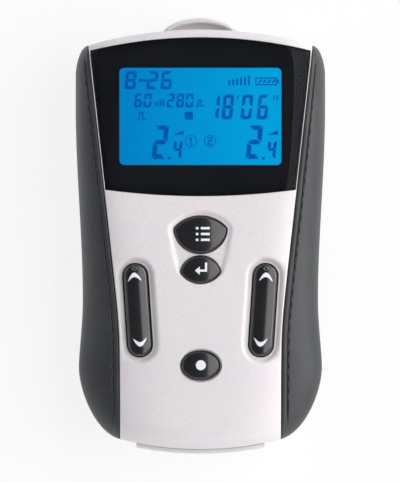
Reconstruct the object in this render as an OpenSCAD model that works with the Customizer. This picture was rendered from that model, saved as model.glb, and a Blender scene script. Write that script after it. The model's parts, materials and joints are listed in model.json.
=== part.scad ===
// Two-channel nerve stimulator (TENS unit), lying on its back.
// X runs across the unit, +Y towards the display end and +Z out of the front face. Sizes in millimetres.

/* [Housing] */
// Length of the housing with the lip of the battery door
body_len = 113.4; // [112:0.2:118]
// Half width at the shoulder, beside the display
shoulder_hw = 33.4; // [33:0.1:35]
// Half width at the waist
waist_hw = 31.5; // [31.2:0.1:33]
// Half width at the hip, below the rockers
hip_hw = 32.6; // [32:0.1:34]
// Height of the front face over the table
front_z = 27.2; // [26.8:0.1:28.5]
// How far the front face falls towards the foot
foot_drop = 2.6; // [1:0.1:3]
// How far the front face falls towards the top
top_drop = 0.8; // [0:0.1:1.5]
// Height of the parting line between the shells
part_z = 14; // [13.8:0.1:14.2]
// Height of the recessed back behind the belt clip
recess_z = 8.5; // [8.3:0.1:8.7]
// Length of the battery bulge, from the foot to the recessed back
bulge_y = 64.4; // [63.9:0.1:64.9]
// Radius of the top edge seen from the front
top_arc_r = 108; // [100:1:130]
// Radius of the foot edge seen from the front
foot_arc_r = 76; // [70:1:90]
// Edge rounding at the top end
top_round = 3; // [2.5:0.1:3.5]
// Wall of the shells
wall = 2; // [1.8:0.1:2.1]

/* [Grips] */
// Thickness of the side grips
grip_t = 2.2; // [1.8:0.1:2.3]
// Half width of the pale front panel at the foot
panel_foot_hw = 21.45; // [21:0.05:22]
// How fast the front panel widens towards the top, as a share of its way out to the shoulder, per mm
panel_flare = 0.00937; // [0.0084:0.00001:0.0098]
// Half width of the pale back panel
back_hw = 24.5; // [24.2:0.1:25]
// Gap between a grip and the shells
grip_gap = 0.12; // [0.08:0.01:0.2]
// Distance from the front panel to the piping groove of a grip
piping_in = 2; // [1.6:0.1:2.6]

/* [Window and display] */
// Thickness of the window
window_t = 1.5; // [1.3:0.1:1.6]
// Bottom edge of the window on the centre line, from the top edge
window_y0 = 44.5; // [43.7:0.1:44.7]
// Width of the visible display
view_w = 43.2; // [40:0.2:44]
// Height of the visible display
view_h = 25.9; // [24:0.1:26.5]
// Place of the display's middle, from the top edge
view_y = 23.2; // [22.9:0.1:23.5]
// Thickness of the display glass
glass_t = 1.8; // [1.4:0.1:2]
// Thickness of the backlight
backlight_t = 2.5; // [2:0.1:2.6]

/* [Keys] */
// Half width of the upper key
p_hw = 7.1; // [6.5:0.1:7.4]
// Half width of the middle key
e_hw = 5.35; // [5:0.05:5.6]
// Half width of the lower key
dot_hw = 5.05; // [4.6:0.05:5.3]
// Height of the lower key
dot_h = 7.5; // [7:0.1:8]
// How far a key stands over the front face
key_proud = 0.75; // [0.6:0.05:0.8]
// Travel of a key
key_travel = 0.6; // [0.4:0.1:0.7]
// Gap round a key
key_gap = 0.3; // [0.25:0.05:0.35]
// Width of a rocker
rocker_w = 6.3; // [6:0.1:6.5]
// Length of a rocker
rocker_len = 24.6; // [24:0.1:25]
// Distance from the centre line to a rocker's middle
rocker_x = 16.75; // [16.5:0.05:16.9]
// Lean of a rocker, its top end outwards, in degrees
rocker_lean = 3.8; // [0:0.2:4.2]
// Radius of a rocker's pivot
pivot_r = 0.8; // [0.7:0.05:0.85]

/* [Circuit board] */
// Height of the board's underside
board_z = 16.5; // [16.4:0.05:16.6]
// Thickness of the board
board_t = 1.2; // [1:0.1:1.3]
// Half width of the board
board_hw = 25.5; // [25:0.1:26]
// Thickness of the key mat
mat_t = 1; // [0.8:0.1:1.1]

/* [Output sockets] */
// Distance from the centre line to a socket
socket_x = 18; // [17.5:0.1:18.5]
// Radius of a socket's bore
socket_r = 1.25; // [1:0.05:1.4]
// Depth of a socket's bore
socket_depth = 10; // [8:0.5:11]
// Radius of the collar round a socket
collar_r = 2.5; // [2.3:0.05:2.5]

/* [Batteries] */
// Diameter of a cell
cell_d = 10.3; // [10:0.1:10.4]
// Length of a cell with its button
cell_len = 44.5; // [44:0.1:44.8]
// Distance between cells
cell_pitch = 10.8; // [10.6:0.05:10.9]
// Half width of the battery bay
bay_hw = 16.6; // [16.4:0.05:16.7]
// Thickness of the battery door
door_t = 2; // [1.8:0.1:2.1]
// Width of the battery door
door_w = 34.6; // [34.2:0.1:35]
// Thickness of the door's lip over the foot end
lip_t = 1.1; // [0.9:0.1:1.3]
// Height of the door's lip
lip_h = 15; // [12:0.5:17]

/* [Belt clip] */
// Half width of the clip
clip_hw = 13; // [12:0.2:14]
// Thickness of the clip's plate
clip_t = 2.2; // [2:0.1:2.3]
// Distance from the battery bulge to the clip's tip
clip_y0 = 2.4; // [2.2:0.1:3]
// Place of the clip's pin, from the top edge
pin_y = 13.7; // [12.7:0.2:14.7]
// Height of the clip's pin
pin_z = 5.4; // [5.3:0.05:5.5]
// Radius of the clip's pin
pin_r = 1; // [0.8:0.05:1.05]
// How far the clip's tab reaches past the top edge
tab_reach = 3.4; // [3:0.1:5]
// Half width of the tab where it leaves the top edge
tab_hw = 10.8; // [9:0.2:11.5]
// Running clearance of the pin in the clip
pin_play = 0.05; // [0.03:0.01:0.08]

/* [Screws] */
// Radius of a screw's thread
screw_r = 1.1; // [1:0.05:1.2]
// Radius of a screw's head
head_r = 2; // [1.8:0.05:2.1]

/* [Hidden] */
$fa = 8;
$fs = 0.4;

top_y = body_len / 2;
lip_y = -body_len / 2;
foot_y = lip_y + lip_t + 0.2;
shoulder_y = top_y - 20.7;
waist_y = -15.5;
hip_y = foot_y + 15.4;
bulge_end = foot_y + bulge_y;
window_foot = top_y - window_y0;
view_mid = top_y - view_y;
clip_tip = bulge_end + clip_y0;
pin_at = top_y - pin_y;
foot_len = 17;              // stretch of the foot that narrows
foot_in = 9;                // how much it narrows on each side
core_in = grip_t + grip_gap;    // outer face of the shells under the grips
hollow_in = core_in + 1.4;      // inner face of the shells under the grips
flat_z = -1.9;              // level of the bulge before the table plane cuts it flat
outer_steps = 8;            // steps in a quarter of the section outside
inner_steps = 5;            // and inside, where it is out of sight
window_y1 = top_y - 2.1;
window_top_r = 124;
window_foot_r = 190;
window_hw1 = panel_hw(top_y - 7.05);
mask_t = 0.05;
window_seat = window_t + mask_t + 0.25;
contact_t = 0.4;
display_z = front_z - window_t - 1.2 - glass_t; // underside of the display glass
board_top = board_z + board_t;
mat_z = board_top + mat_t;
dome_h = key_travel + 1;    // a dome is still 1 mm high when its key is down
dome_z = mat_z + dome_h;
dome_r = 2.6;               // radius of a dome at its foot
p_y = window_foot - 8.62;
e_y = p_y - 11.58;
dot_y = e_y - 24.9;
rocker_y = p_y - 21.78;
rocker_arm = rocker_len / 2 - 4.3;  // from a rocker's pivot to the dome under each end
pivot_play = 0.05;
cheek_t = 1;
cheek_x = rocker_w / 2 + 0.3;
bay_y0 = foot_y + 4.4;
bay_y1 = bay_y0 + cell_len + 7.6;
bay_top = door_t + 0.3 + cell_d + 0.3;
cell_z = door_t + 0.3 + cell_d / 2;
seat_z = 11.3;              // seat of the housing screws' heads
board_y0 = foot_y + 6.4;
board_y1 = top_y - 7.7;
housing_screw_at = [[board_hw - 3, view_mid - 20.9], [board_hw - 4, foot_y + 13.4]];
board_screw_at = [12, view_mid - view_h / 2 - 5.65];
bracket_screw_at = [3.4, pin_at + 3.6];
lug_x = 6.2;
lug_t = 2;
bracket_t = 1.2;
bracket_z = recess_z - 0.03;
big = 200;

silver = [0.87, 0.86, 0.86];
dark = [0.2, 0.2, 0.21];
black = [0.06, 0.06, 0.07];
steel = [0.72, 0.73, 0.75];

// ---- the housing's form ----

function smooth(t) = let(c = min(1, max(0, t))) c * c * (3 - 2 * c);
function lerp(a, b, t) = a + (b - a) * t;
// Quarter ellipse: how far an edge has drawn in at distance d from the end.
function rounding(d, len, depth) = d >= len ? 0 : depth * (1 - sqrt(1 - pow(1 - max(0, d) / len, 2)));

function half_width(y) =
    (y > waist_y ? lerp(waist_hw, shoulder_hw, smooth((y - waist_y) / (shoulder_y - waist_y)))
                 : lerp(waist_hw, hip_hw, smooth((waist_y - y) / (waist_y - hip_y))))
    - rounding(top_y - y, top_round, top_round) - rounding(y - foot_y, foot_len, foot_in);
function front_rise(y) =
    front_z - part_z - top_drop * smooth((y - top_y + 26.7) / 27)
    - foot_drop * smooth((foot_y + 47.4 - y) / 46)
    - rounding(top_y - y, top_round, top_round) - rounding(y - foot_y, 6, 5);
function back_fall(y) =
    part_z - lerp(recess_z, flat_z, smooth((bulge_end - y) / 6))
    - rounding(top_y - y, top_round, top_round) - rounding(y - foot_y, 7, 6);
// The front is squarer at the top, where the window is, and rounder at the foot.
function front_power(y) = lerp(3.8, 12, smooth((y - foot_y - 20.4) / 80));
// Bow of the stations, so that both ends follow their arcs.
function bow(y) = y > 0 ? -smooth((y - top_y + 28.7) / 28.7) / (2 * top_arc_r)
                        : smooth((foot_y + 45.4 - y) / 45.4) / (2 * foot_arc_r);

// One cross-section at station y, drawn in by d all round and moved to place_y, with n steps in a quarter.
function ring(y, place_y, d, n) =
    let(w = half_width(y) - d, up = front_rise(y) - d,
        down = max(back_fall(y) - d, back_fall(y) / (4 + 4 * d)))  // stays open where the top end is thin
    [for (k = [0 : 4 * n - 1])
        let(a = 90 * k / n, u = cos(a), front = a <= 180, x = w * u,
            p = front ? front_power(y) : 4,
            h = sqrt(max(0, 1 - pow(abs(u), p))),
            z = front ? part_z + up * h : max(d, part_z - down * h))
        [x, place_y + bow(y) * x * x, z]];

stations = concat(
    [for (k = [0 : 4]) foot_y + foot_len * (1 - cos(18 * k)) * 0.62],
    [for (k = [0 : 4]) lerp(foot_y + 11.4, bulge_end - 9, k / 4)],
    [for (k = [3 : -1 : 0]) bulge_end - 2 * k],
    [for (k = [9, 18, 26, 33, 39]) lerp(bulge_end, top_y - 8.7, k / 39)],
    [for (k = [0 : 3]) top_y - top_round * (1 - sin(30 * k))]);

// The whole outer form, drawn in by d, and by end_d at its two ends.
module body_solid(d, end_d, steps = outer_steps) {
    n = len(stations);
    m = 4 * steps;
    len0 = top_y - foot_y;
    points = [for (y = stations)
        each ring(y, foot_y + end_d + (y - foot_y) * (len0 - 2 * end_d) / len0, d, steps)];
    sides = [for (i = [0 : n - 2], k = [0 : m - 1])
        let(a = i * m + k, b = i * m + (k + 1) % m) each [[a, b, a + m], [b, b + m, a + m]]];
    // each end is closed with upright strips, because its edge is bowed
    strips = [for (k = [0 : m / 2 - 1]) let(c = (m - k - 1) % m, d = (m - k) % m)
        k == 0 ? [[k, c, k + 1]] : k == m / 2 - 1 ? [[d, k + 1, k]] : [[d, c, k], [c, k + 1, k]]];
    foot_cap = [for (s = strips) each s];
    top_cap = [for (f = foot_cap) [for (q = [2 : -1 : 0]) f[q] + (n - 1) * m]];
    polyhedron(points, concat(sides, foot_cap, top_cap), convexity = 6);
}

// Height of the front face at a point, drawn in by d.
function station_of(x, y) = let(a = y - bow(y) * x * x) y - bow(a) * x * x;
function face_z(x, y, d = 0) =
    let(s = station_of(x, y), u = min(1, abs(x) / (half_width(s) - d)))
    part_z + (front_rise(s) - d) * sqrt(1 - pow(u, front_power(s)));

// Half width of the pale front panel.
function panel_hw(y) = let(s = y - waist_y + 7.5)
    panel_foot_hw + panel_flare * (shoulder_hw - panel_foot_hw) * (s + sqrt(s * s + 36)) / 2;

module panel_prism(out) {
    ys = [for (k = [0 : 20]) lerp(foot_y - 4.6, top_y + 5.3, k / 20)];
    translate([0, 0, part_z - 1]) linear_extrude(big / 4) polygon(concat(
        [for (y = ys) [panel_hw(y) + out, y]],
        [for (k = [20 : -1 : 0]) [-panel_hw(ys[k]) - out, ys[k]]]));
}

module front_half() translate([-big / 2, -big / 2, part_z]) cube([big, big, big]);
module rear_half() translate([-big / 2, -big / 2, part_z - big]) cube([big, big, big]);
module box(x, y, z) translate([x[0], y[0], z[0]]) cube([x[1] - x[0], y[1] - y[0], z[1] - z[0]]);
module both() for (s = [0, 1]) mirror([s, 0, 0]) children();

// ---- shapes shared by keys and their openings ----

// Lemon outline: two arcs that meet at rounded corners, with its corners on the X axis.
module lemon(hw, up, down, corner) {
    r1 = (hw * hw + up * up) / (2 * up);
    r2 = (hw * hw + down * down) / (2 * down);
    offset(r = corner, $fn = 16) offset(delta = -corner) intersection() {
        translate([0, up - r1]) circle(r1, $fn = 40);
        translate([0, r2 - down]) circle(r2, $fn = 40);
    }
}
module oval(hw, h) polygon([for (k = [0 : 35]) [hw * cos(10 * k), h / 2 * sin(10 * k)]]);
module key_outline(name) {
    if (name == "p") lemon(p_hw, 3.26, 6.6, 1.3);
    if (name == "e") lemon(e_hw, 4.25, 3, 1);
    if (name == "dot") oval(dot_hw, dot_h);
}
function key_y(name) = name == "p" ? p_y : name == "e" ? e_y : dot_y;
function key_mid(name) = name == "p" ? -1.6 : name == "e" ? 0.6 : 0;
function key_z(name) = face_z(0, key_y(name) + key_mid(name));

module at_key(name) translate([0, key_y(name), 0]) children();

module rocker_outline(out) {
    straight = rocker_len / 2 - rocker_w / 2;
    hull() for (s = [-1, 1]) translate([0, s * straight]) circle(rocker_w / 2 + out, $fn = 24);
}
module at_rocker(side)
    translate([side * rocker_x, rocker_y, 0]) rotate([0, 0, -side * rocker_lean]) children();
// The face falls towards the foot, and the rockers lie along it.
rocker_pitch = atan((face_z(rocker_x, rocker_y + 9) - face_z(rocker_x, rocker_y - 9)) / 18);
module pitched()
    translate([0, 0, pivot_z]) rotate([rocker_pitch, 0, 0]) translate([0, 0, -pivot_z]) children();
rocker_face = face_z(rocker_x, rocker_y);
pivot_z = face_z(rocker_x + cheek_x + cheek_t, rocker_y, wall) - 0.4 - pivot_r - 0.7;

// ---- housing ----

module window_outline(in) {
    steps = 16;
    xb = panel_hw(window_foot + 1.7) + grip_gap - in;
    xt = window_hw1 - in;
    ys = window_foot + in + xb * xb / (2 * window_foot_r);
    ye = window_y1 - in - xt * xt / (2 * window_top_r);
    polygon(concat(
        [for (k = [-steps : steps])
            let(x = xb * k / steps) [x, window_foot + in + x * x / (2 * window_foot_r)]],
        [for (k = [1 : 5]) let(y = lerp(ys, ye, k / 6)) [panel_hw(y) + grip_gap - in, y]],
        [for (k = [steps : -1 : -steps])
            let(x = xt * k / steps) [x, window_y1 - in - x * x / (2 * window_top_r)]],
        [for (k = [5 : -1 : 1]) let(y = lerp(ys, ye, k / 6)) [-panel_hw(y) - grip_gap + in, y]]));
}

module screw_boss(at, z0, z1) {
    translate([at[0], at[1], z0]) hull() {
        cylinder(r = head_r + 0.8, h = z1 - z0, $fn = 24);
        translate([3.4, -0.6, 0]) cube([0.4, 1.2, z1 - z0]);
    }
}

module front_shell() color(silver) difference() {
    union() {
        difference() {
            intersection() {
                front_half();
                union() {
                    body_solid(core_in, 0);
                    intersection() {
                        body_solid(0, 0);
                        panel_prism(0);
                    }
                }
            }
            body_solid(hollow_in, wall, inner_steps);
            intersection() {
                body_solid(wall, wall, inner_steps);
                panel_prism(-0.8);
                box([-big, big], [-big, window_foot - 1], [part_z, big]);
            }
        }
        // screw bosses, each with a rib towards the wall
        intersection() {
            body_solid(core_in + 0.3, wall / 2, inner_steps);
            both() for (at = housing_screw_at) screw_boss(at, board_top, front_z);
        }
    }
    // seat of the window
    difference() {
        translate([0, 0, part_z]) linear_extrude(big) window_outline(-0.02);
        body_solid(window_seat, 0);
    }
    // opening for the display
    translate([0, view_mid, 0])
        box([-view_w / 2 - 2.3, view_w / 2 + 2.3], [-view_h / 2 - 2.5, view_h / 2 + 2.5], [part_z, big]);
    // key openings, and the shallow dish that the upper two share
    for (name = ["p", "e", "dot"]) at_key(name)
        translate([0, 0, part_z]) linear_extrude(big) offset(delta = key_gap) key_outline(name);
    hull() {
        for (spot = [["p", key_z("p") - 0.35, 1], ["p", front_z + 1, 2.4], ["e", key_z("p") - 0.35, 0.6]])
            at_key(spot[0]) translate([0, 0, spot[1]]) linear_extrude(0.1)
                offset(delta = spot[2]) key_outline(spot[0]);
    }
    // rocker openings in their moats
    for (side = [-1, 1]) at_rocker(side) pitched() {
        translate([0, 0, part_z]) linear_extrude(big)
            scale([1, 1 + 0.6 / rocker_len]) rocker_outline(key_gap);
        hull() {
            translate([0, 0, rocker_face - 0.7]) linear_extrude(0.1) rocker_outline(0.9);
            translate([0, 0, rocker_face + 1.3]) linear_extrude(0.1) rocker_outline(2.6);
        }
    }
    // output sockets and screw pilots
    both() {
        translate([socket_x, top_y - 6, part_z]) rotate([-90, 0, 0])
            cylinder(r = collar_r + 0.15, h = 10, $fn = 32);
        for (at = housing_screw_at) translate([at[0], at[1], board_z])
            cylinder(r = screw_r + 0.05, h = 6.2, $fn = 24);
    }
}

module rear_shell() color(silver * 0.97) difference() {
    union() {
        difference() {
            intersection() {
                rear_half();
                union() {
                    body_solid(core_in, 0);
                    intersection() {
                        body_solid(0, 0);
                        box([-back_hw, back_hw], [-big, big], [-big, big]);
                    }
                }
            }
            body_solid(hollow_in, wall, inner_steps);
            intersection() {
                body_solid(wall, wall, inner_steps);
                box([-back_hw + 1.5, back_hw - 1.5], [-big, big], [-big, part_z + 1]);
            }
        }
        // battery bay
        intersection() {
            body_solid(wall / 2, wall / 2, inner_steps);
            box([-bay_hw - 1.3, bay_hw + 1.3], [bay_y0 - 1.3, bay_y1 + 1.3], [0, bay_top + 1]);
        }
        // rails over the door's tongues
        intersection() {
            body_solid(wall / 2, wall / 2, inner_steps);
            both() box([door_w / 2, door_w / 2 + 2.4], [-big, bay_y1], [0, door_t + 1.5]);
        }
        // bosses for the housing screws
        intersection() {
            union() {
                body_solid(core_in + 0.3, wall / 2, inner_steps);
                intersection() {
                    body_solid(0.4, wall / 2, inner_steps);
                    box([-back_hw + 0.4, back_hw - 0.4], [-big, big], [0, part_z]);
                }
            }
            both() for (at = housing_screw_at) screw_boss(at, 0, board_z);
        }
        // posts under the board and the pads that take the clip bracket's screws
        for (x = [-1, 1], y = [top_y - 34.7, top_y - 18.7]) hull() {
            translate([x * 14, y, recess_z + wall / 2]) cylinder(r = 1.6, h = 1, $fn = 20);
            translate([x * 14, y, board_z - 0.4]) cylinder(r = 1.1, h = 0.4, $fn = 20);
        }
        both() translate([bracket_screw_at[0], bracket_screw_at[1], recess_z + wall / 2])
            cylinder(r = 2.2, h = 3.5, $fn = 24);
    }
    box([-bay_hw, bay_hw], [bay_y0, bay_y1], [-1, bay_top]);
    // the door's opening and the grooves for its tongues
    box([-door_w / 2 - 0.2, door_w / 2 + 0.2], [-big, bay_y1 + 0.4], [-1, door_t + 0.2]);
    both() box([0, door_w / 2 + 1.1], [-big, bay_y1], [door_t / 2 - 0.3, door_t / 2 + 0.8]);
    both() {
        translate([socket_x, top_y - 6, part_z]) rotate([-90, 0, 0])
            cylinder(r = collar_r + 0.15, h = 10, $fn = 32);
        for (at = housing_screw_at) translate([at[0], at[1], -1]) {
            cylinder(r = screw_r + 0.15, h = big, $fn = 24);
            cylinder(r = head_r + 0.2, h = seat_z + 1, $fn = 32);
        }
        translate([bracket_screw_at[0], bracket_screw_at[1], 0])
            cylinder(r = screw_r - 0.25, h = recess_z + 4.4, $fn = 24);
    }
}

// The skin of one flank, from the front panel round to the back panel, with a piping groove.
module grip() color(dark) difference() {
    intersection() {
        body_solid(0, 0);
        union() {
            difference() {
                box([0, big], [-big, big], [part_z, big]);
                panel_prism(grip_gap);
            }
            box([back_hw + grip_gap, big], [-big, big], [-big, part_z + 0.01]);
        }
    }
    body_solid(grip_t, 0);
    ys = [for (k = [0 : 12]) lerp(foot_y + 5.4, top_y - 6.2, k / 12)];
    for (k = [0 : 11]) hull() for (y = [ys[k], ys[k + 1]]) {
        x = panel_hw(y) + min(piping_in, 0.55 * (half_width(station_of(panel_hw(y), y)) - panel_hw(y)));
        translate([x, y, face_z(x, y) + 0.1]) sphere(0.35, $fn = 8);
    }
}
module right_grip() grip();
module left_grip() mirror([1, 0, 0]) grip();

// A plate that follows the front face between two depths, inside the window's outline drawn in by in.
module face_plate(d0, d1, in, nu = 20, nv = 8) {
    function spot(i, j, d) =
        let(u = 2 * i / nu - 1, v = j / nv,
            xb = u * (panel_hw(window_foot + 1.7) - in), xt = u * (window_hw1 - in),
            y = lerp(window_foot + in + xb * xb / (2 * window_foot_r),
                     window_y1 - in - xt * xt / (2 * window_top_r), v),
            x = u * lerp(panel_hw(y) - in, window_hw1 - in, smooth((v - 0.8) / 0.2)))
        [x, y, face_z(x, y, d)];
    row = nu + 1;
    count = row * (nv + 1);
    points = concat([for (j = [0 : nv], i = [0 : nu]) spot(i, j, d1)], [for (j = [0 : nv], i = [0 : nu]) spot(i, j, d0)]);
    low = [for (j = [0 : nv - 1], i = [0 : nu - 1]) let(a = j * row + i)
        each [[a, a + 1, a + row], [a + 1, a + row + 1, a + row]]];
    high = [for (f = low) [f[2] + count, f[1] + count, f[0] + count]];
    rim = concat([for (i = [0 : nu]) i], [for (j = [1 : nv]) j * row + nu],
                 [for (i = [nu - 1 : -1 : 0]) nv * row + i], [for (j = [nv - 1 : -1 : 1]) j * row]);
    walls = [for (k = [0 : len(rim) - 1]) let(a = rim[k], b = rim[(k + 1) % len(rim)])
        each [[b, a, a + count], [b, a + count, b + count]]];
    polyhedron(points, concat(low, high, walls), convexity = 4);
}

module display_window() color([0.05, 0.05, 0.06]) face_plate(0.05, window_t, 0.1);
module window_mask() color(black) difference() {
    face_plate(window_t, window_t + mask_t, 0.1);
    translate([0, view_mid, front_z]) cube([view_w, view_h, 20], center = true);
}

// ---- display ----

module lcd_glass() color([0.1, 0.5, 0.85]) translate([0, view_mid, 0])
    box([-view_w / 2 - 1.9, view_w / 2 + 1.9], [-view_h / 2 - 2, view_h / 2 + 2], [display_z, display_z + glass_t]);
module lcd_backlight() color([0.85, 0.93, 1]) translate([0, view_mid, 0])
    box([-view_w / 2 - 1.9, view_w / 2 + 1.9], [-view_h / 2, view_h / 2 + 2], [display_z - backlight_t, display_z]);
module lcd_frame() color([0.9, 0.9, 0.88]) translate([0, view_mid, 0]) {
    out = [view_w / 2 + 3.6, view_h / 2 + 3.6];
    difference() {
        union() {
            // its corners follow the inside of the shell
            intersection() {
                box([-out[0], out[0]], [-out[1], out[1]], [board_top, display_z - 1.5]);
                translate([0, -view_mid, 0]) body_solid(hollow_in + 0.1, wall, inner_steps);
            }
            both() translate([board_screw_at[0], board_screw_at[1] - view_mid, board_top]) {
                cylinder(r = 2, h = 1.5);
                translate([-2, 0, 0]) cube([4, 2.5, 1.5]);
            }
        }
        box([-view_w / 2 - 2, view_w / 2 + 2], [-view_h / 2 - 2.1, view_h / 2 + 2.1], [display_z - backlight_t, big]);
        box([-view_w / 2 + 1, view_w / 2 - 1], [-view_h / 2 - 2.1, view_h / 2 - 1], [board_top - 1, big]);
        both() translate([board_screw_at[0], board_screw_at[1] - view_mid, board_top - 1]) cylinder(r = 0.9, h = 5);
    }
}
module lcd_connector() color([0.25, 0.25, 0.5]) translate([0, view_mid, 0])
    box([-view_w / 2 + 1.2, view_w / 2 - 1.2], [-view_h / 2 - 1.9, -view_h / 2 - 0.1], [board_top, display_z]);

// ---- circuit board ----

module main_board() color([0.05, 0.4, 0.2]) difference() {
    translate([0, 0, board_z]) linear_extrude(board_t) polygon([
        [-board_hw, board_y0 + 12], [8 - board_hw, board_y0], [board_hw - 8, board_y0], [board_hw, board_y0 + 12],
        [board_hw, board_y1 - 3], [board_hw - 3, board_y1], [3 - board_hw, board_y1], [-board_hw, board_y1 - 3]]);
    both() {
        for (at = housing_screw_at) translate([at[0], at[1], board_z - 1]) cylinder(r = screw_r + 0.2, h = 4);
        translate([board_screw_at[0], board_screw_at[1], board_z - 1]) cylinder(r = 0.9, h = 4);
    }
}
module controller_chip() color(black) translate([-4, view_mid + 3, board_top]) {
    box([-5, 5], [-5, 5], [0.15, 1.5]);
    for (turn = [0 : 3], k = [-4 : 4]) rotate([0, 0, 90 * turn])
        box([k * 0.95 - 0.2, k * 0.95 + 0.2], [4.6, 6.2], [0, 0.15]);
}
module capacitors() color([0.15, 0.2, 0.45])
    for (at = [[1, -34.7], [1, -24.7], [-1, -29.7]]) translate([at[0] * (board_hw - 5), top_y + at[1], board_z - 4.2]) {
        cylinder(r = 2.5, h = 3.8);
        cylinder(r = 2.2, h = 4.2);
    }
module output_transformers() color([0.75, 0.6, 0.25]) for (x = [-7.5, 7.5]) translate([x, top_y - 26.7, 0]) {
    box([-3.6, 3.6], [-5, 5], [board_z - 0.8, board_z]);
    box([-2.6, 2.6], [-4, 4], [board_z - 4.4, board_z - 0.8]);
    for (y = [-5, 4]) box([-3.6, 3.6], [y, y + 1], [board_z - 5.2, board_z - 0.8]);
    box([-3.6, 3.6], [-4, 4], [board_z - 5.2, board_z - 4.4]);
}
module buzzer() color(black) translate([0, view_mid - 16.1, board_z - 2.6]) difference() {
    cylinder(r = 4.4, h = 2.6);
    translate([0, 0, -1]) cylinder(r = 1, h = 2.4);
}
module output_sockets() color(dark) both() translate([socket_x, 0, part_z]) {
    mouth = top_y - socket_x * socket_x / (2 * top_arc_r);
    difference() {
        union() {
            box([-3.4, 3.4], [mouth - socket_depth - 1.4, mouth - wall - 2.4], [-2.7, board_z - part_z]);
            translate([0, mouth - wall - 3, 0]) rotate([-90, 0, 0]) cylinder(r = collar_r, h = wall + 3);
        }
        translate([0, mouth - socket_depth, 0]) rotate([-90, 0, 0]) cylinder(r = socket_r, h = socket_depth + 1);
    }
}

// ---- keys ----

module keypad_mat() color([0.35, 0.36, 0.38]) difference() {
    box([2.5 - board_hw, board_hw - 2.5], [dot_y - 6.1, p_y + 5.92], [board_top, mat_z]);
    both() for (at = housing_screw_at) translate([at[0], at[1], board_z]) cylinder(r = head_r + 0.95, h = 4);
    for (side = [-1, 1]) at_rocker(side) both()
        box([cheek_x - 0.2, cheek_x + cheek_t + 0.2], [-2.7, 2.7], [board_top - 1, mat_z + 1]);
}
module dome(z) translate([0, 0, z]) difference() {
    cylinder(r1 = dome_r, r2 = dome_r - 0.7, h = dome_h);
    translate([0, 0, -0.01]) cylinder(r1 = dome_r - 0.6, r2 = dome_r - 1.3, h = dome_h - 0.4);
}
module key_dome(name) color([0.6, 0.6, 0.62]) at_key(name) translate([0, key_mid(name), 0]) dome(mat_z);
// A key: a crowned cap, the flange that holds it in and the stem that meets its dome.
module key(name, crown_r) color(black) at_key(name) {
    top = key_z(name) + key_proud;
    flange_z = key_z(name) - wall - 1.4;
    intersection() {
        translate([0, 0, flange_z]) linear_extrude(top - flange_z) key_outline(name);
        translate([0, key_mid(name), top - crown_r]) sphere(crown_r, $fn = 96);
    }
    // the flanges of the upper two stop short of each other
    translate([0, 0, flange_z]) linear_extrude(0.8) intersection() {
        offset(delta = 0.8) key_outline(name);
        translate([-big / 2, name == "p" ? -6.65 : -big + (name == "e" ? 4.3 : big / 2)]) square(big);
    }
    translate([0, key_mid(name), dome_z]) cylinder(r = 1.6, h = flange_z - dome_z + 0.1);
}
module p_key() key("p", 24);
module e_key() key("e", 18);
module dot_key() key("dot", 17);
module p_key_dome() key_dome("p");
module e_key_dome() key_dome("e");
module dot_key_dome() key_dome("dot");

module rocker(side) color(black) at_rocker(side) {
    top = rocker_face + key_proud;
    low = pivot_z - 0.6;
    crown_r = 7;
    difference() {
        pitched() intersection() {
            translate([0, 0, low]) linear_extrude(top - low) rocker_outline(0);
            translate([0, 0, top - crown_r]) rotate([90, 0, 0])
                cylinder(r = crown_r, h = rocker_len + 2, center = true);
        }
        // clear of the domes under both ends
        for (s = [-1, 1]) translate([0, s * rocker_arm, 0]) cylinder(r = dome_r + 0.2, h = dome_z);
    }
    translate([-cheek_x - cheek_t, 0, pivot_z]) rotate([0, 90, 0])
        cylinder(r = pivot_r, h = 2 * (cheek_x + cheek_t));
    for (s = [-1, 1]) translate([0, s * rocker_arm, dome_z]) cylinder(r = 1.5, h = low - dome_z + 0.6);
}
module rocker_cradle(side) color([0.85, 0.85, 0.83]) at_rocker(side) both() difference() {
    union() {
        box([cheek_x, cheek_x + cheek_t], [-2.5, 2.5], [board_top, pivot_z - 0.5]);
        translate([cheek_x, 0, pivot_z]) rotate([0, 90, 0]) cylinder(r = pivot_r + 0.7, h = cheek_t);
        box([cheek_x, cheek_x + cheek_t], [-1.5, 1.5], [board_top, pivot_z]);
    }
    translate([cheek_x - 1, 0, pivot_z]) rotate([0, 90, 0]) cylinder(r = pivot_r + pivot_play, h = cheek_t + 2);
}
module rocker_domes(side) color([0.6, 0.6, 0.62]) at_rocker(side) for (s = [-1, 1])
    translate([0, s * rocker_arm, 0]) dome(mat_z);
module left_rocker() rocker(-1);
module right_rocker() rocker(1);
module left_rocker_cradle() rocker_cradle(-1);
module right_rocker_cradle() rocker_cradle(1);
module left_rocker_domes() rocker_domes(-1);
module right_rocker_domes() rocker_domes(1);

// ---- batteries ----

module lip_band() linear_extrude(lip_h) polygon(concat(
    [for (k = [-10 : 10]) let(x = (door_w / 2) * k / 10) [x, lip_y - 1 + x * x / (2 * foot_arc_r)]],
    [for (k = [10 : -1 : -10]) let(x = (door_w / 2) * k / 10) [x, lip_y + lip_t + x * x / (2 * foot_arc_r)]]));

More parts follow.
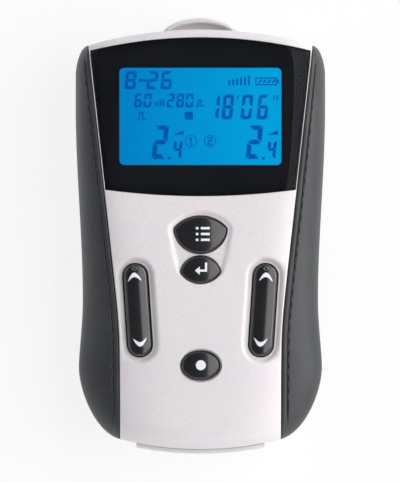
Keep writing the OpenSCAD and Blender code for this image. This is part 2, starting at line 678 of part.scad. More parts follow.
// The sliding door: a plate with tongues at its sides and a lip that closes the foot end.
module battery_door() color(silver) difference() {
    union() {
        intersection() {
            body_solid(0, -lip_t - 0.2);
            union() {
                box([-door_w / 2, door_w / 2], [-big, bay_y1 + 0.2], [0, door_t]);
                lip_band();
            }
        }
        both() hull() {
            box([door_w / 2 - 1, door_w / 2 + 0.9], [foot_y + 8, bay_y1 - 1], [door_t / 2 - 0.1, door_t / 2 + 0.6]);
            box([door_w / 2 - 1, door_w / 2], [foot_y + 6, bay_y1 - 0.3], [door_t / 2 - 0.1, door_t / 2 + 0.6]);
        }
    }
    // finger grooves
    for (k = [0 : 6]) hull() for (x = [-1, 1])
        translate([x * (7.5 - 0.7 * k), bay_y1 - 10.1 - 2.2 * k, -0.15]) sphere(0.65, $fn = 12);
}
// Places a cell of the bay, lying along the unit. The middle one is turned end for end.
module in_bay(k) translate([k * cell_pitch, k == 0 ? bay_y0 + bay_y1 : 0, cell_z]) mirror([0, k == 0 ? 1 : 0, 0]) children();
cell_y1 = bay_y1 - contact_t - 0.05;
module battery_cells() color([0.7, 0.45, 0.2]) for (k = [-1 : 1]) in_bay(k) rotate([-90, 0, 0]) {
    translate([0, 0, cell_y1 - cell_len]) cylinder(d = cell_d, h = cell_len - 1);
    translate([0, 0, cell_y1 - 1]) cylinder(r = 1.9, h = 1);
}

// Round wire wound about the Y axis, from y0 to y1, between two radii.
module coil(y0, y1, ra, rb, wire, turns, sides = 5, per_turn = 10) {
    n = turns * per_turn;
    points = [for (i = [0 : n]) let(t = i / n, a = 360 * turns * t, r = lerp(ra, rb, t))
        each [for (k = [0 : sides - 1]) let(q = 360 * k / sides, rr = r + wire * cos(q))
            [rr * cos(a), lerp(y0, y1, t) + wire * sin(q), rr * sin(a)]]];
    sidewalls = [for (i = [0 : n - 1], k = [0 : sides - 1])
        let(a = i * sides + k, b = i * sides + (k + 1) % sides) each [[b, a, a + sides], [b + sides, b, a + sides]]];
    polyhedron(points, concat(sidewalls,
        [[for (k = [0 : sides - 1]) k], [for (k = [sides - 1 : -1 : 0]) n * sides + k]]), convexity = 8);
}
module battery_springs() color(steel) for (k = [-1 : 1]) in_bay(k)
    coil(bay_y0 + contact_t + 0.35, cell_y1 - cell_len - 0.35, 3.4, 2, 0.3, 3);
module battery_contacts() color(steel) for (k = [-1 : 1]) translate([k * cell_pitch, 0, 0]) {
    half = cell_d / 2 - 0.75;
    for (y = [bay_y0, bay_y1 - contact_t])
        box([-half, half], [y, y + contact_t], [cell_z - half, cell_z + half]);
}

// ---- belt clip ----

clip_z = 0.5;
module tab_oval(in) {
    y0 = top_y - 2.2;
    h = tab_reach + 2.2 - in;
    polygon([for (k = [0 : 40]) let(a = 4.5 * k) [(tab_hw - in) * cos(a), y0 + h * sin(a)]]);
}
module belt_clip() color(silver) difference() {
    union() {
        translate([0, 0, clip_z]) linear_extrude(clip_t) union() {
            tab_oval(0);
            polygon([[-clip_hw, pin_at + 4], [-tab_hw, top_y - 2.2], [tab_hw, top_y - 2.2], [clip_hw, pin_at + 4],
                     [clip_hw, clip_tip + 5], [clip_hw - 5, clip_tip], [5 - clip_hw, clip_tip], [-clip_hw, clip_tip + 5]]);
        }
        // the tab's raised rim, past the top edge
        translate([0, 0, clip_z]) linear_extrude(6) difference() {
            tab_oval(0);
            tab_oval(1.4);
            translate([-big / 2, top_y + 0.5 - big]) square(big);
        }
        // the jaw that grips the belt
        translate([5 - clip_hw, clip_tip + 0.1, clip_z]) cube([2 * clip_hw - 10, 2.6, recess_z - 0.3 - clip_z - 0.8]);
        translate([5 - clip_hw, clip_tip + 1.4, recess_z - 1.6]) rotate([0, 90, 0]) cylinder(r = 1.3, h = 2 * clip_hw - 10);
        // cheeks round the pin
        both() {
            box([lug_x + lug_t + 0.3, lug_x + lug_t + 2.3], [pin_at - 2.6, pin_at + 2.6], [clip_z, pin_z - 0.4]);
            translate([lug_x + lug_t + 0.3, pin_at, pin_z]) rotate([0, 90, 0]) cylinder(r = pin_r + 1.1, h = 2);
        }
    }
    translate([-clip_hw, pin_at, pin_z]) rotate([0, 90, 0]) cylinder(r = pin_r + pin_play, h = 2 * clip_hw);
}
module clip_bracket() color(silver * 0.9) difference() {
    union() {
        box([-lug_x - lug_t, lug_x + lug_t], [pin_at - 3.5, pin_at + 6], [bracket_z - bracket_t, bracket_z]);
        both() {
            box([lug_x, lug_x + lug_t], [pin_at - 2, pin_at + 2], [pin_z, bracket_z]);
            translate([lug_x, pin_at, pin_z]) rotate([0, 90, 0]) cylinder(r = pin_r + 1, h = lug_t);
        }
    }
    translate([-clip_hw, pin_at, pin_z]) rotate([0, 90, 0]) cylinder(r = pin_r + 0.02, h = 2 * clip_hw);
    both() translate([bracket_screw_at[0], bracket_screw_at[1], 0]) cylinder(r = screw_r - 0.25, h = big);
}
module clip_pin() color(steel) translate([-lug_x - lug_t - 2.3, pin_at, pin_z]) rotate([0, 90, 0])
    cylinder(r = pin_r, h = 2 * (lug_x + lug_t + 2.3));
module clip_spring() color(steel) translate([0, pin_at, pin_z]) rotate([0, 0, -90])
    coil(-4.6, 4.6, 1.5, 1.5, 0.25, 5);

// ---- screws ----

module screw(x, y, z, length, thread, head, head_h) translate([x, y, z]) difference() {
    union() {
        cylinder(r = thread, h = length);
        translate([0, 0, -head_h]) cylinder(r = head, h = head_h);
    }
    for (a = [0, 90]) rotate([0, 0, a]) translate([-head * 0.6, -0.25, -head_h - 1]) cube([head * 1.2, 0.5, 1.6]);
}
module housing_screws() color(steel) both() for (at = housing_screw_at)
    screw(at[0], at[1], seat_z, 8.6, screw_r, head_r, 1.3);
module board_screws() color(steel) both() translate([board_screw_at[0], board_screw_at[1], board_top + 1.5])
    rotate([180, 0, 0]) screw(0, 0, 0, 3.4, 0.85, 1.5, 0.9);
module bracket_screws() color(steel) both() screw(bracket_screw_at[0], bracket_screw_at[1], bracket_z - bracket_t, 5, screw_r - 0.3, 1.6, 0.9);

// The origin is under the middle of the whole unit, with the tab of the clip.
module placed() translate([0, -tab_reach / 2, 0]) children();

placed() front_shell();
placed() rear_shell();
placed() left_grip();
placed() right_grip();
placed() display_window();
placed() window_mask();
placed() lcd_glass();
placed() lcd_backlight();
placed() lcd_frame();
placed() lcd_connector();
placed() main_board();
placed() controller_chip();
placed() capacitors();
placed() output_transformers();
placed() buzzer();
placed() output_sockets();
placed() keypad_mat();
placed() p_key();
placed() p_key_dome();
placed() e_key();
placed() e_key_dome();
placed() dot_key();
placed() dot_key_dome();
placed() left_rocker();
placed() left_rocker_domes();
placed() left_rocker_cradle();
placed() right_rocker();
placed() right_rocker_domes();
placed() right_rocker_cradle();
placed() battery_door();
placed() battery_cells();
placed() battery_springs();
placed() battery_contacts();
placed() belt_clip();
placed() clip_bracket();
placed() clip_pin();
placed() clip_spring();
placed() housing_screws();
placed() board_screws();
placed() bracket_screws();
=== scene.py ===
"""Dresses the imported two-channel nerve stimulator (TENS unit) and lights it for its picture.

The unit lies on its back. X runs across it, +Y towards the display end and +Z out of its front face.
Shapes are worked out in millimetres in the unit's own frame and put in the row frame by `to_row`.
"""

from __future__ import annotations

import json
import logging
import math
from dataclasses import dataclass, field
from enum import Enum
from typing import Callable, Optional, Sequence

import bpy
import numpy as np
from mathutils import Matrix, Vector
from mathutils import geometry as plane_geometry
from mathutils.bvhtree import BVHTree
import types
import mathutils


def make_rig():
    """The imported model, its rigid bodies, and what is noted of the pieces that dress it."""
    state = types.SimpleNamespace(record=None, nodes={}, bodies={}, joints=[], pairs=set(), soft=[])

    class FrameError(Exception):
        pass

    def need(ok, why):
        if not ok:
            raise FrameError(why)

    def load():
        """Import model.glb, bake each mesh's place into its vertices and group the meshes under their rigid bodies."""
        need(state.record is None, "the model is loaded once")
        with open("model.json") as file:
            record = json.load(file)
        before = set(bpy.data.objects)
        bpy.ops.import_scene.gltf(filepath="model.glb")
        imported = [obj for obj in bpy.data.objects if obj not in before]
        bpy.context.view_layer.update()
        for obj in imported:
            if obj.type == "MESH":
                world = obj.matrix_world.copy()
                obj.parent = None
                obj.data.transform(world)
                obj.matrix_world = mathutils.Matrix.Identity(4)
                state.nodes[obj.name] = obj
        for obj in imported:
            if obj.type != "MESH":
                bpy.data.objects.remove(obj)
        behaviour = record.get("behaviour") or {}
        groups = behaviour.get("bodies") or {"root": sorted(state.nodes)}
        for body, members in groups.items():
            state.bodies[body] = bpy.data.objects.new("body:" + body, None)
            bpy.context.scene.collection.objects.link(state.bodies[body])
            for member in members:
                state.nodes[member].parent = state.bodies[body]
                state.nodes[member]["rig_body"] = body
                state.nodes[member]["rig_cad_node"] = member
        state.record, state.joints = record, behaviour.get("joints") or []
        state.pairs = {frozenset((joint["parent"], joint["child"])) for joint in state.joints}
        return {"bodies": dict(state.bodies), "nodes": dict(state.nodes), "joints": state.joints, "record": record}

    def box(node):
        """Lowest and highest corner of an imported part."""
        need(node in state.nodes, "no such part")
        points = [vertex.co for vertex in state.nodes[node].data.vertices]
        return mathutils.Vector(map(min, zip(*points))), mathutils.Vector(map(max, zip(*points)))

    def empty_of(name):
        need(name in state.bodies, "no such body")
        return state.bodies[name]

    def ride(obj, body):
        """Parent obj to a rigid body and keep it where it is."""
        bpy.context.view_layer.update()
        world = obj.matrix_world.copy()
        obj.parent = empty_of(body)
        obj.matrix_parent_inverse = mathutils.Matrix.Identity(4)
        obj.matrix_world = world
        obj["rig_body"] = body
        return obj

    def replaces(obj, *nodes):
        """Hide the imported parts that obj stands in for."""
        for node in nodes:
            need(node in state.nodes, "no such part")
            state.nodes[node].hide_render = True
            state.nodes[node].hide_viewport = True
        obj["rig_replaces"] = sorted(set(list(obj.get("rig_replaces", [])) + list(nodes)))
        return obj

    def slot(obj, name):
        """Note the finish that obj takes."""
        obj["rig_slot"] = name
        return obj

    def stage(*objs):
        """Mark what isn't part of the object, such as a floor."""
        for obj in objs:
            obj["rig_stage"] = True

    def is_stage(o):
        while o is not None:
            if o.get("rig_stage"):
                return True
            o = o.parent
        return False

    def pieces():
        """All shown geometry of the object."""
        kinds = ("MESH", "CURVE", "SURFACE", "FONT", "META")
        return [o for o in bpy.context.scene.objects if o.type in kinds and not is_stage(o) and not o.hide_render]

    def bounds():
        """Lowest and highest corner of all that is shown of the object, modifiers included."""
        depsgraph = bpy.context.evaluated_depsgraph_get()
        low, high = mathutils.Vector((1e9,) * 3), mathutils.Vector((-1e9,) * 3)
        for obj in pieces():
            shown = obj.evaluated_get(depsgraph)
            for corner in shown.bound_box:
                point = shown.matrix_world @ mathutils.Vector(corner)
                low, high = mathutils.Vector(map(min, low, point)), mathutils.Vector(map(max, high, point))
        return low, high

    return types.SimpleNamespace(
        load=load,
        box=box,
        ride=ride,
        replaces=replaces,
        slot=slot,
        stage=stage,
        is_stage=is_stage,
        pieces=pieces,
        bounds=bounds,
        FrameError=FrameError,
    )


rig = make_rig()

log = logging.getLogger("tens_unit")
Array = np.ndarray

SHIFT_Y = -1.7          # mm from the unit's own middle to the row frame
MM = 0.001
WIDTH_PX, HEIGHT_PX = 400, 482
LONG_SIDE_PX = max(WIDTH_PX, HEIGHT_PX)
NO_POINTS = np.zeros((0, 2))
BLOCK = 4096            # points worked on at a time, where all pairs are compared
FAR = 99.0              # mm, a distance past every reach
SEAM = 0.04             # mm that each shell stays off the parting line


# ---------------------------------------------------------------- curves and grids


def smooth(t: Array) -> Array:
    """Smooth step: 3t^2 - 2t^3 of t held between 0 and 1."""
    c = np.clip(t, 0.0, 1.0)
    return c * c * (3.0 - 2.0 * c)


def lerp(a: Array, b: Array, t: Array) -> Array:
    """Straight mix of a and b."""
    return a + (b - a) * t


def rounding(d: Array, length: float, depth: float) -> Array:
    """How far a rounded edge has drawn in at distance d from the end.

    A quarter ellipse: depth * (1 - sqrt(1 - (1 - d/length)^2)), and 0 past its length.
    """
    q = 1.0 - np.clip(d, 0.0, length) / length
    return depth * (1.0 - np.sqrt(np.maximum(0.0, 1.0 - q * q)))


def to_row(points: Array) -> Array:
    """Millimetres in the unit's own frame to metres in the row frame."""
    return (np.asarray(points, float) + (0.0, SHIFT_Y, 0.0)) * MM


def polar(count: int, start: float = 0.0, end: float = 2 * math.pi, closed: bool = True) -> Array:
    """Evenly spaced angles from start to end, without the end where the curve is closed."""
    return np.linspace(start, end, count, endpoint=not closed)


def resample(loop: Array, step: float) -> Array:
    """Points at about equal steps along a closed outline, corners kept.

    Each side is cut into round(length / step) equal parts.
    """
    nxt = np.roll(loop, -1, axis=0)
    cuts = np.maximum(1, np.round(np.linalg.norm(nxt - loop, axis=1) / step).astype(int))
    owner = np.repeat(np.arange(len(loop)), cuts)
    t = (np.arange(cuts.sum()) - np.repeat(np.cumsum(cuts) - cuts, cuts)) / cuts[owner]
    return loop[owner] + (nxt[owner] - loop[owner]) * t[:, None]


def outward(loop: Array) -> Array:
    """Unit normals of a closed anticlockwise outline at its points: the tangent turned by -90 degrees."""
    tangent = np.roll(loop, -1, axis=0) - np.roll(loop, 1, axis=0)
    tangent /= np.maximum(1e-9, np.linalg.norm(tangent, axis=1))[:, None]
    return np.stack([tangent[:, 1], -tangent[:, 0]], axis=1)


def anticlockwise(loop: Array) -> Array:
    """The outline in anticlockwise order, by the sign of its shoelace area."""
    x, y = loop[:, 0], loop[:, 1]
    area = np.sum(x * np.roll(y, -1) - np.roll(x, -1) * y)
    return loop if area > 0 else loop[::-1]


def chaikin(loop: Array, rounds: int = 3, keep: float = 0.22) -> Array:
    """Rounds the corners of a closed outline by cutting each side at keep and 1 - keep, again and again."""
    for _ in range(rounds):
        nxt = np.roll(loop, -1, axis=0)
        loop = np.stack([lerp(loop, nxt, keep), lerp(loop, nxt, 1 - keep)], axis=1).reshape(-1, 2)
    return loop


def outline_distance(points: Array, loop: Array) -> Array:
    """Distance from points to the sides of a closed outline, worked out for all pairs in blocks."""
    a, b = loop, np.roll(loop, -1, axis=0)
    d = b - a
    length2 = np.maximum(1e-12, (d * d).sum(1))
    out = np.empty(len(points))
    for i in range(0, len(points), BLOCK):
        p = points[i:i + BLOCK, None, :] - a[None]
        t = np.clip((p * d[None]).sum(2) / length2, 0.0, 1.0)
        out[i:i + BLOCK] = np.sqrt(((p - t[..., None] * d[None]) ** 2).sum(2).min(1))
    return out


def inside(points: Array, loop: Array) -> Array:
    """Which points lie in a closed outline, by counting crossings of a ray along +X."""
    x, y = points[:, 0], points[:, 1]
    result = np.zeros(len(points), bool)
    x0, y0 = loop[:, 0], loop[:, 1]
    x1, y1 = np.roll(x0, -1), np.roll(y0, -1)
    for i in range(0, len(points), BLOCK):
        px, py = x[i:i + BLOCK, None], y[i:i + BLOCK, None]
        crosses = (y0 > py) != (y1 > py)
        at = x0 + (py - y0) * (x1 - x0) / np.where(y1 == y0, 1e-12, y1 - y0)
        result[i:i + BLOCK] = (crosses & (px < at)).sum(1) % 2 == 1
    return result


def signed_distance(points: Array, loop: Array) -> Array:
    """Distance to an outline, negative inside it."""
    d = outline_distance(points, loop)
    return np.where(inside(points, loop), -d, d)


def near_distance(points: Array, loop: Array, measure: Callable[[Array, Array], Array],
                  reach: float = 3.0) -> Array:
    """A distance to an outline, worked out within reach of its box, and FAR elsewhere."""
    near = ((points > loop.min(0) - reach) & (points < loop.max(0) + reach)).all(1)
    out = np.full(len(points), FAR)
    out[near] = measure(points[near], loop)
    return out


def in_region(points: Array, outer: Array, holes: Sequence[Array]) -> Array:
    """Which points lie inside an outline and outside its holes."""
    result = inside(points, outer)
    for hole in holes:
        result &= ~inside(points, hole)
    return result


def grid_points(xs: Array, ys: Array) -> Array:
    """Every pair of xs and ys, as rows."""
    gx, gy = np.meshgrid(xs, ys)
    return np.stack([gx.ravel(), gy.ravel()], 1)


# ---------------------------------------------------------------- surfaces


def turned_over(faces: Array) -> Array:
    """Face rows in reversed order, so that they look the other way."""
    return np.where(faces[:, 3:] >= 0, faces[:, ::-1], faces[:, [2, 1, 0, 3]])


@dataclass
class Surface:
    """A mesh being put together: points in mm, and faces as rows of four indices (-1 pads a triangle)."""

    points: Array = field(default_factory=lambda: np.zeros((0, 3)))
    faces: Array = field(default_factory=lambda: np.zeros((0, 4), int))

    def add(self, points: Array, faces: Array) -> "Surface":
        """Adds faces over their own points.

        Args:
            points: the new points, in mm.
            faces: rows of 3 or 4 indices into them.

        Returns:
            this surface, for chaining.
        """
        faces = np.asarray(faces, int)
        if faces.shape[1] == 3:
            faces = np.concatenate([faces, np.full((len(faces), 1), -1)], axis=1)
        moved = np.where(faces >= 0, faces + len(self.points), -1)
        self.points = np.concatenate([self.points, points])
        self.faces = np.concatenate([self.faces, moved])
        return self

    def join(self, other: "Surface") -> "Surface":
        """Adds another surface's faces to this one."""
        return self.add(other.points, other.faces)

    def level(self, plan: Array, tris: Array, z: float, up: bool = True) -> "Surface":
        """Adds a filled plan region at height z, looking up or down."""
        points = np.hstack([plan, np.full((len(plan), 1), z)])
        return self.add(points, tris if up else tris[:, ::-1])

    def mirrored(self) -> "Surface":
        """The same surface on the other side of the unit, with its faces turned to point outwards again."""
        return Surface(self.points * (-1, 1, 1), turned_over(self.faces))

    def welded(self, step: float = 1e-4) -> "Surface":
        """The surface with points closer than step mm made one.

        A quad that loses a corner becomes a triangle, and a triangle that loses one is left out.
        """
        # a filled region's points come back in single precision, so every point is rounded to it first
        key = np.round(self.points.astype(np.float32).astype(float) / step).astype(np.int64)
        _, first, where = np.unique(key, axis=0, return_index=True, return_inverse=True)
        faces = np.where(self.faces >= 0, where.ravel()[np.maximum(self.faces, 0)], -1)
        for one, other, rest in ((3, 2, [0, 1, 2]), (3, 0, [0, 1, 2]), (0, 1, [1, 2, 3]), (1, 2, [0, 1, 3])):
            lost = (faces[:, 3] >= 0) & (faces[:, one] == faces[:, other])
            faces[lost, :3] = faces[lost][:, rest]
            faces[lost, 3] = -1
        a, b, c = faces[:, :3].T
        return Surface(self.points[first], faces[(a != b) & (b != c) & (a != c)])

    def triangles(self) -> Array:
        """All faces as triangles."""
        quads = self.faces[:, 3] >= 0
        second = self.faces[quads][:, [0, 2, 3]]
        return np.concatenate([self.faces[:, :3], second])

    def normals(self) -> Array:
        """Unit normals at the points: the sum of the areas' normals of the faces that meet there."""
        tri = self.triangles()
        p = self.points
        n = np.cross(p[tri[:, 1]] - p[tri[:, 0]], p[tri[:, 2]] - p[tri[:, 0]])
        out = np.zeros_like(p)
        for k in range(3):
            np.add.at(out, tri[:, k], n)
        return out / np.maximum(1e-12, np.linalg.norm(out, axis=1))[:, None]

    def thickened(self, depth: float = 0.0,
                  inwards: Optional[Callable[[Array], Array]] = None) -> "Surface":
        """A closed shell: the sheet, its copy moved inwards, and walls along the open edges.

        Args:
            depth: thickness in mm.
            inwards: gives the inner points for the outer ones, instead of the normals.

        Returns:
            the closed surface, welded.
        """
        sheet = self.welded()
        n = len(sheet.points)
        inner = inwards(sheet.points) if inwards else sheet.points - sheet.normals() * depth
        quads = sheet.faces[:, 3] >= 0
        flipped = turned_over(sheet.faces)
        flipped = np.where(flipped >= 0, flipped + n, -1)
        loops = [sheet.faces[quads][:, [k, (k + 1) % 4]] for k in range(4)]
        loops += [sheet.faces[~quads][:, [k, (k + 1) % 3]] for k in range(3)]
        edges = np.concatenate(loops)
        ahead, back = edges @ (n + 1, 1), edges @ (1, n + 1)
        rim = edges[~np.isin(ahead, back)]
        walls = np.stack([rim[:, 1], rim[:, 0], rim[:, 0] + n, rim[:, 1] + n], 1)
        return Surface(np.concatenate([sheet.points, inner]), np.concatenate([sheet.faces, flipped, walls]))

    def tree(self) -> BVHTree:
        """A ray-casting tree of the surface, in the row frame."""
        return BVHTree.FromPolygons(to_row(self.points).tolist(), self.triangles().tolist())


def grid_surface(points: Array, wrap: bool = False, flip: bool = False) -> Surface:
    """Quads over a grid of points with shape (rows, columns, 3).

    Args:
        points: the grid.
        wrap: the last column joins the first.
        flip: turns the faces over.

    Returns:
        the surface. Faces run (r,c), (r,c+1), (r+1,c+1), (r+1,c).
    """
    rows, cols = points.shape[:2]
    index = np.arange(rows * cols).reshape(rows, cols)
    right = np.roll(index, -1, axis=1) if wrap else index[:, 1:]
    left = index if wrap else index[:, :-1]
    faces = np.stack([left[:-1], right[:-1], right[1:], left[1:]], axis=-1).reshape(-1, 4)
    return Surface().add(points.reshape(-1, 3), faces[:, ::-1] if flip else faces)


def fill_region(outer: Array, holes: Sequence[Array] = (), free: Array = NO_POINTS) -> tuple[Array, Array]:
    """Triangles over a plane region with holes, by constrained Delaunay triangulation.

    Args:
        outer: the outer outline.
        holes: outlines of the holes.
        free: points inside the region that the triangles also use.

    Returns:
        the points (n, 2) and the triangles, anticlockwise.
    """
    loops = [outer, *holes]
    starts = np.cumsum([0] + [len(loop) for loop in loops])
    edges = np.concatenate([
        np.stack([np.arange(len(loop)), np.roll(np.arange(len(loop)), -1)], 1) + start
        for loop, start in zip(loops, starts)])
    points = np.concatenate([*loops, free])
    result = plane_geometry.delaunay_2d_cdt(
        [Vector(p) for p in points.tolist()], edges.tolist(), [], 0, 1e-6, False)
    verts = np.array([tuple(v) for v in result[0]])
    tris = np.array([f for f in result[2] if len(f) == 3])
    tris = tris[in_region(verts[tris].mean(1), outer, holes)]
    a, b, c = verts[tris[:, 0]], verts[tris[:, 1]], verts[tris[:, 2]]
    area = (b[:, 0] - a[:, 0]) * (c[:, 1] - a[:, 1]) - (b[:, 1] - a[:, 1]) * (c[:, 0] - a[:, 0])
    tris[area < 0] = tris[area < 0][:, ::-1]
    used, where = np.unique(tris, return_inverse=True)
    return verts[used], where.reshape(-1, 3)


def free_points(outer: Array, holes: Sequence[Array], grid: Array, rings: Sequence[float],
                outer_rings: Sequence[float] = ()) -> Array:
    """Inner points for fill_region: a grid, and rings along the outlines where the surface turns.

    Args:
        outer: the outer outline, anticlockwise.
        holes: the holes, anticlockwise.
        grid: grid points, kept where no outline is near.
        rings: distances from the holes at which rings of points run.
        outer_rings: the same for the outer outline, inwards.

    Returns:
        the kept points.
    """
    def distances(points: Array) -> Array:
        """Distance from points to the nearest outline."""
        return np.min([outline_distance(points, loop) for loop in [outer, *holes]], axis=0)

    kept = []
    for loop, steps, sign in [(h, rings, 1.0) for h in holes] + [(outer, outer_rings, -1.0)]:
        for d in steps:
            candidates = loop + outward(loop) * (sign * d)
            kept.append(candidates[distances(candidates) > 0.93 * d])
    reach = max([*rings, *outer_rings, 0.0])
    spare = distances(grid)
    kept.append(grid[spare > max(0.15, 0.9 * reach)] if reach else grid[spare > 0.1])
    points = np.concatenate(kept)
    return points[in_region(points, outer, holes)]


def plate(outer: Array, holes: Sequence[Array], z0: float, z1: float, edge: float = 0.0,
          grid_step: float = 0.0, steps: int = 4) -> Surface:
    """A flat plate with a rounded edge all round.

    The edge is a quarter circle at top and bottom: inset e(1 - cos a) goes with height e sin a.

    Args:
        outer: its outline, in X and Y.
        holes: its openings.
        z0: underside.
        z1: top.
        edge: radius of the edges.
        grid_step: adds a grid of inner points this far apart.
        steps: steps in a quarter circle.

    Returns:
        the closed surface.
    """
    outer = anticlockwise(outer)
    holes = [anticlockwise(h) for h in holes]
    a = np.linspace(0, math.pi / 2, steps + 1) if edge else np.zeros(1)
    # from the top's flat edge over the rounding to the side, and back in at the bottom
    inset = np.concatenate([edge * (1 - np.sin(a)), edge * (1 - np.sin(a[::-1]))])
    level = np.concatenate([z1 - edge * (1 - np.cos(a)), z0 + edge * (1 - np.cos(a[::-1]))])
    out = Surface()
    for loop, sign in [(outer, -1.0)] + [(h, 1.0) for h in holes]:
        normal = outward(loop)
        flat = loop[None] + sign * normal[None] * inset[:, None, None]
        heights = np.broadcast_to(level[:, None, None], flat.shape[:2] + (1,))
        wall = np.concatenate([flat, heights], axis=2)
        out.join(grid_surface(wall, wrap=True, flip=sign < 0))
    face_outer = outer - outward(outer) * edge
    face_holes = [h + outward(h) * edge for h in holes]
    grid = NO_POINTS
    if grid_step:
        spans = zip(face_outer.min(0), face_outer.max(0))
        grid = grid_points(*(np.arange(low, high, grid_step) for low, high in spans))
        grid = free_points(face_outer, face_holes, grid, ())
    plan, tris = fill_region(face_outer, face_holes, grid)
    return out.level(plan, tris, z1).level(plan, tris, z0, up=False).welded()


def revolve(profile: Array, count: int, axis_from: Array, axis_dir: Array) -> Surface:
    """A profile of (radius, distance along the axis) turned about an axis.

    Args:
        profile: rows of radius and distance.
        count: steps round.
        axis_from: a point on the axis.
        axis_dir: the axis' unit direction.

    Returns:
        the surface, facing outwards where the profile runs along the axis with the solid on its axis side.
    """
    d = np.asarray(axis_dir, float)
    side = np.cross(d, (0.0, 0.0, 1.0) if abs(d[2]) < 0.9 else (1.0, 0.0, 0.0))
    side /= np.linalg.norm(side)
    up = np.cross(d, side)
    a = polar(count)
    around = np.cos(a)[:, None] * side + np.sin(a)[:, None] * up
    points = np.asarray(axis_from, float) + profile[:, None, 1:2] * d + profile[:, None, 0:1] * around[None]
    return grid_surface(points, wrap=True).welded()


def make_piece(name: str, surface: Surface, body: str, slot: str, finish: "Finish",
               sharp: float = 38.0) -> bpy.types.Object:
    """Makes the Blender object of a piece, shades it smooth up to an angle and lets it ride on its body.

    Args:
        name: the piece's name.
        surface: its shape in mm.
        body: the CAD body it moves with.
        slot: the record's material slot.
        finish: its finish.
        sharp: edges steeper than this many degrees stay sharp.

    Returns:
        the object.
    """
    surface = surface.welded()
    mesh = bpy.data.meshes.new(name)
    faces = [tuple(f) if f[3] >= 0 else tuple(f[:3]) for f in surface.faces.tolist()]
    mesh.from_pydata(to_row(surface.points).tolist(), [], faces)
    mesh.validate()
    mesh.shade_smooth()
    mesh.set_sharp_from_angle(angle=math.radians(sharp))
    mesh.materials.append(finish.material())
    mesh.update()
    piece = bpy.data.objects.new(name, mesh)
    bpy.context.scene.collection.objects.link(piece)
    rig.ride(piece, body)
    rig.slot(piece, slot)
    log.info("%s: %d faces", name, len(mesh.polygons))
    return piece


# ---------------------------------------------------------------- finishes


def linear(hex_code: str, alpha: float = 1.0) -> tuple[float, float, float, float]:
    """An sRGB hex colour as linear RGBA."""
    srgb = np.array([int(hex_code[i:i + 2], 16) for i in (1, 3, 5)]) / 255.0
    rgb = np.where(srgb <= 0.04045, srgb / 12.92, ((srgb + 0.055) / 1.055) ** 2.4)
    return (float(rgb[0]), float(rgb[1]), float(rgb[2]), alpha)


def add_node(tree: bpy.types.NodeTree, kind: str, settings: Optional[dict] = None,
             **inputs: object) -> bpy.types.Node:
    """Adds a node with its settings, values and links.

    Args:
        tree: the node tree.
        kind: the node's type name.
        settings: attributes of the node.
        inputs: socket name (spaces as underscores, or in0, in1 for an index) to a value or an output socket.

    Returns:
        the node.
    """
    node = tree.nodes.new(kind)
    for key, value in (settings or {}).items():
        setattr(node, key, value)
    for key, value in inputs.items():
        socket = node.inputs[int(key[2:])] if key[:2] == "in" and key[2:].isdigit() \
            else node.inputs[key.replace("_", " ")]
        if isinstance(value, bpy.types.NodeSocket):
            tree.links.new(value, socket)
        else:
            socket.default_value = value
    return node


def ramp(tree: bpy.types.NodeTree, factor: bpy.types.NodeSocket,
         stops: Sequence[tuple[float, tuple]]) -> bpy.types.NodeSocket:
    """A colour ramp with the given stops of place and linear RGBA."""
    node = add_node(tree, "ShaderNodeValToRGB", Fac=factor)
    elements = node.color_ramp.elements
    for element, (place, colour) in zip(elements, stops[:2]):
        element.position, element.color = place, colour
    for place, colour in stops[2:]:
        elements.new(place).color = colour
    return node.outputs["Color"]


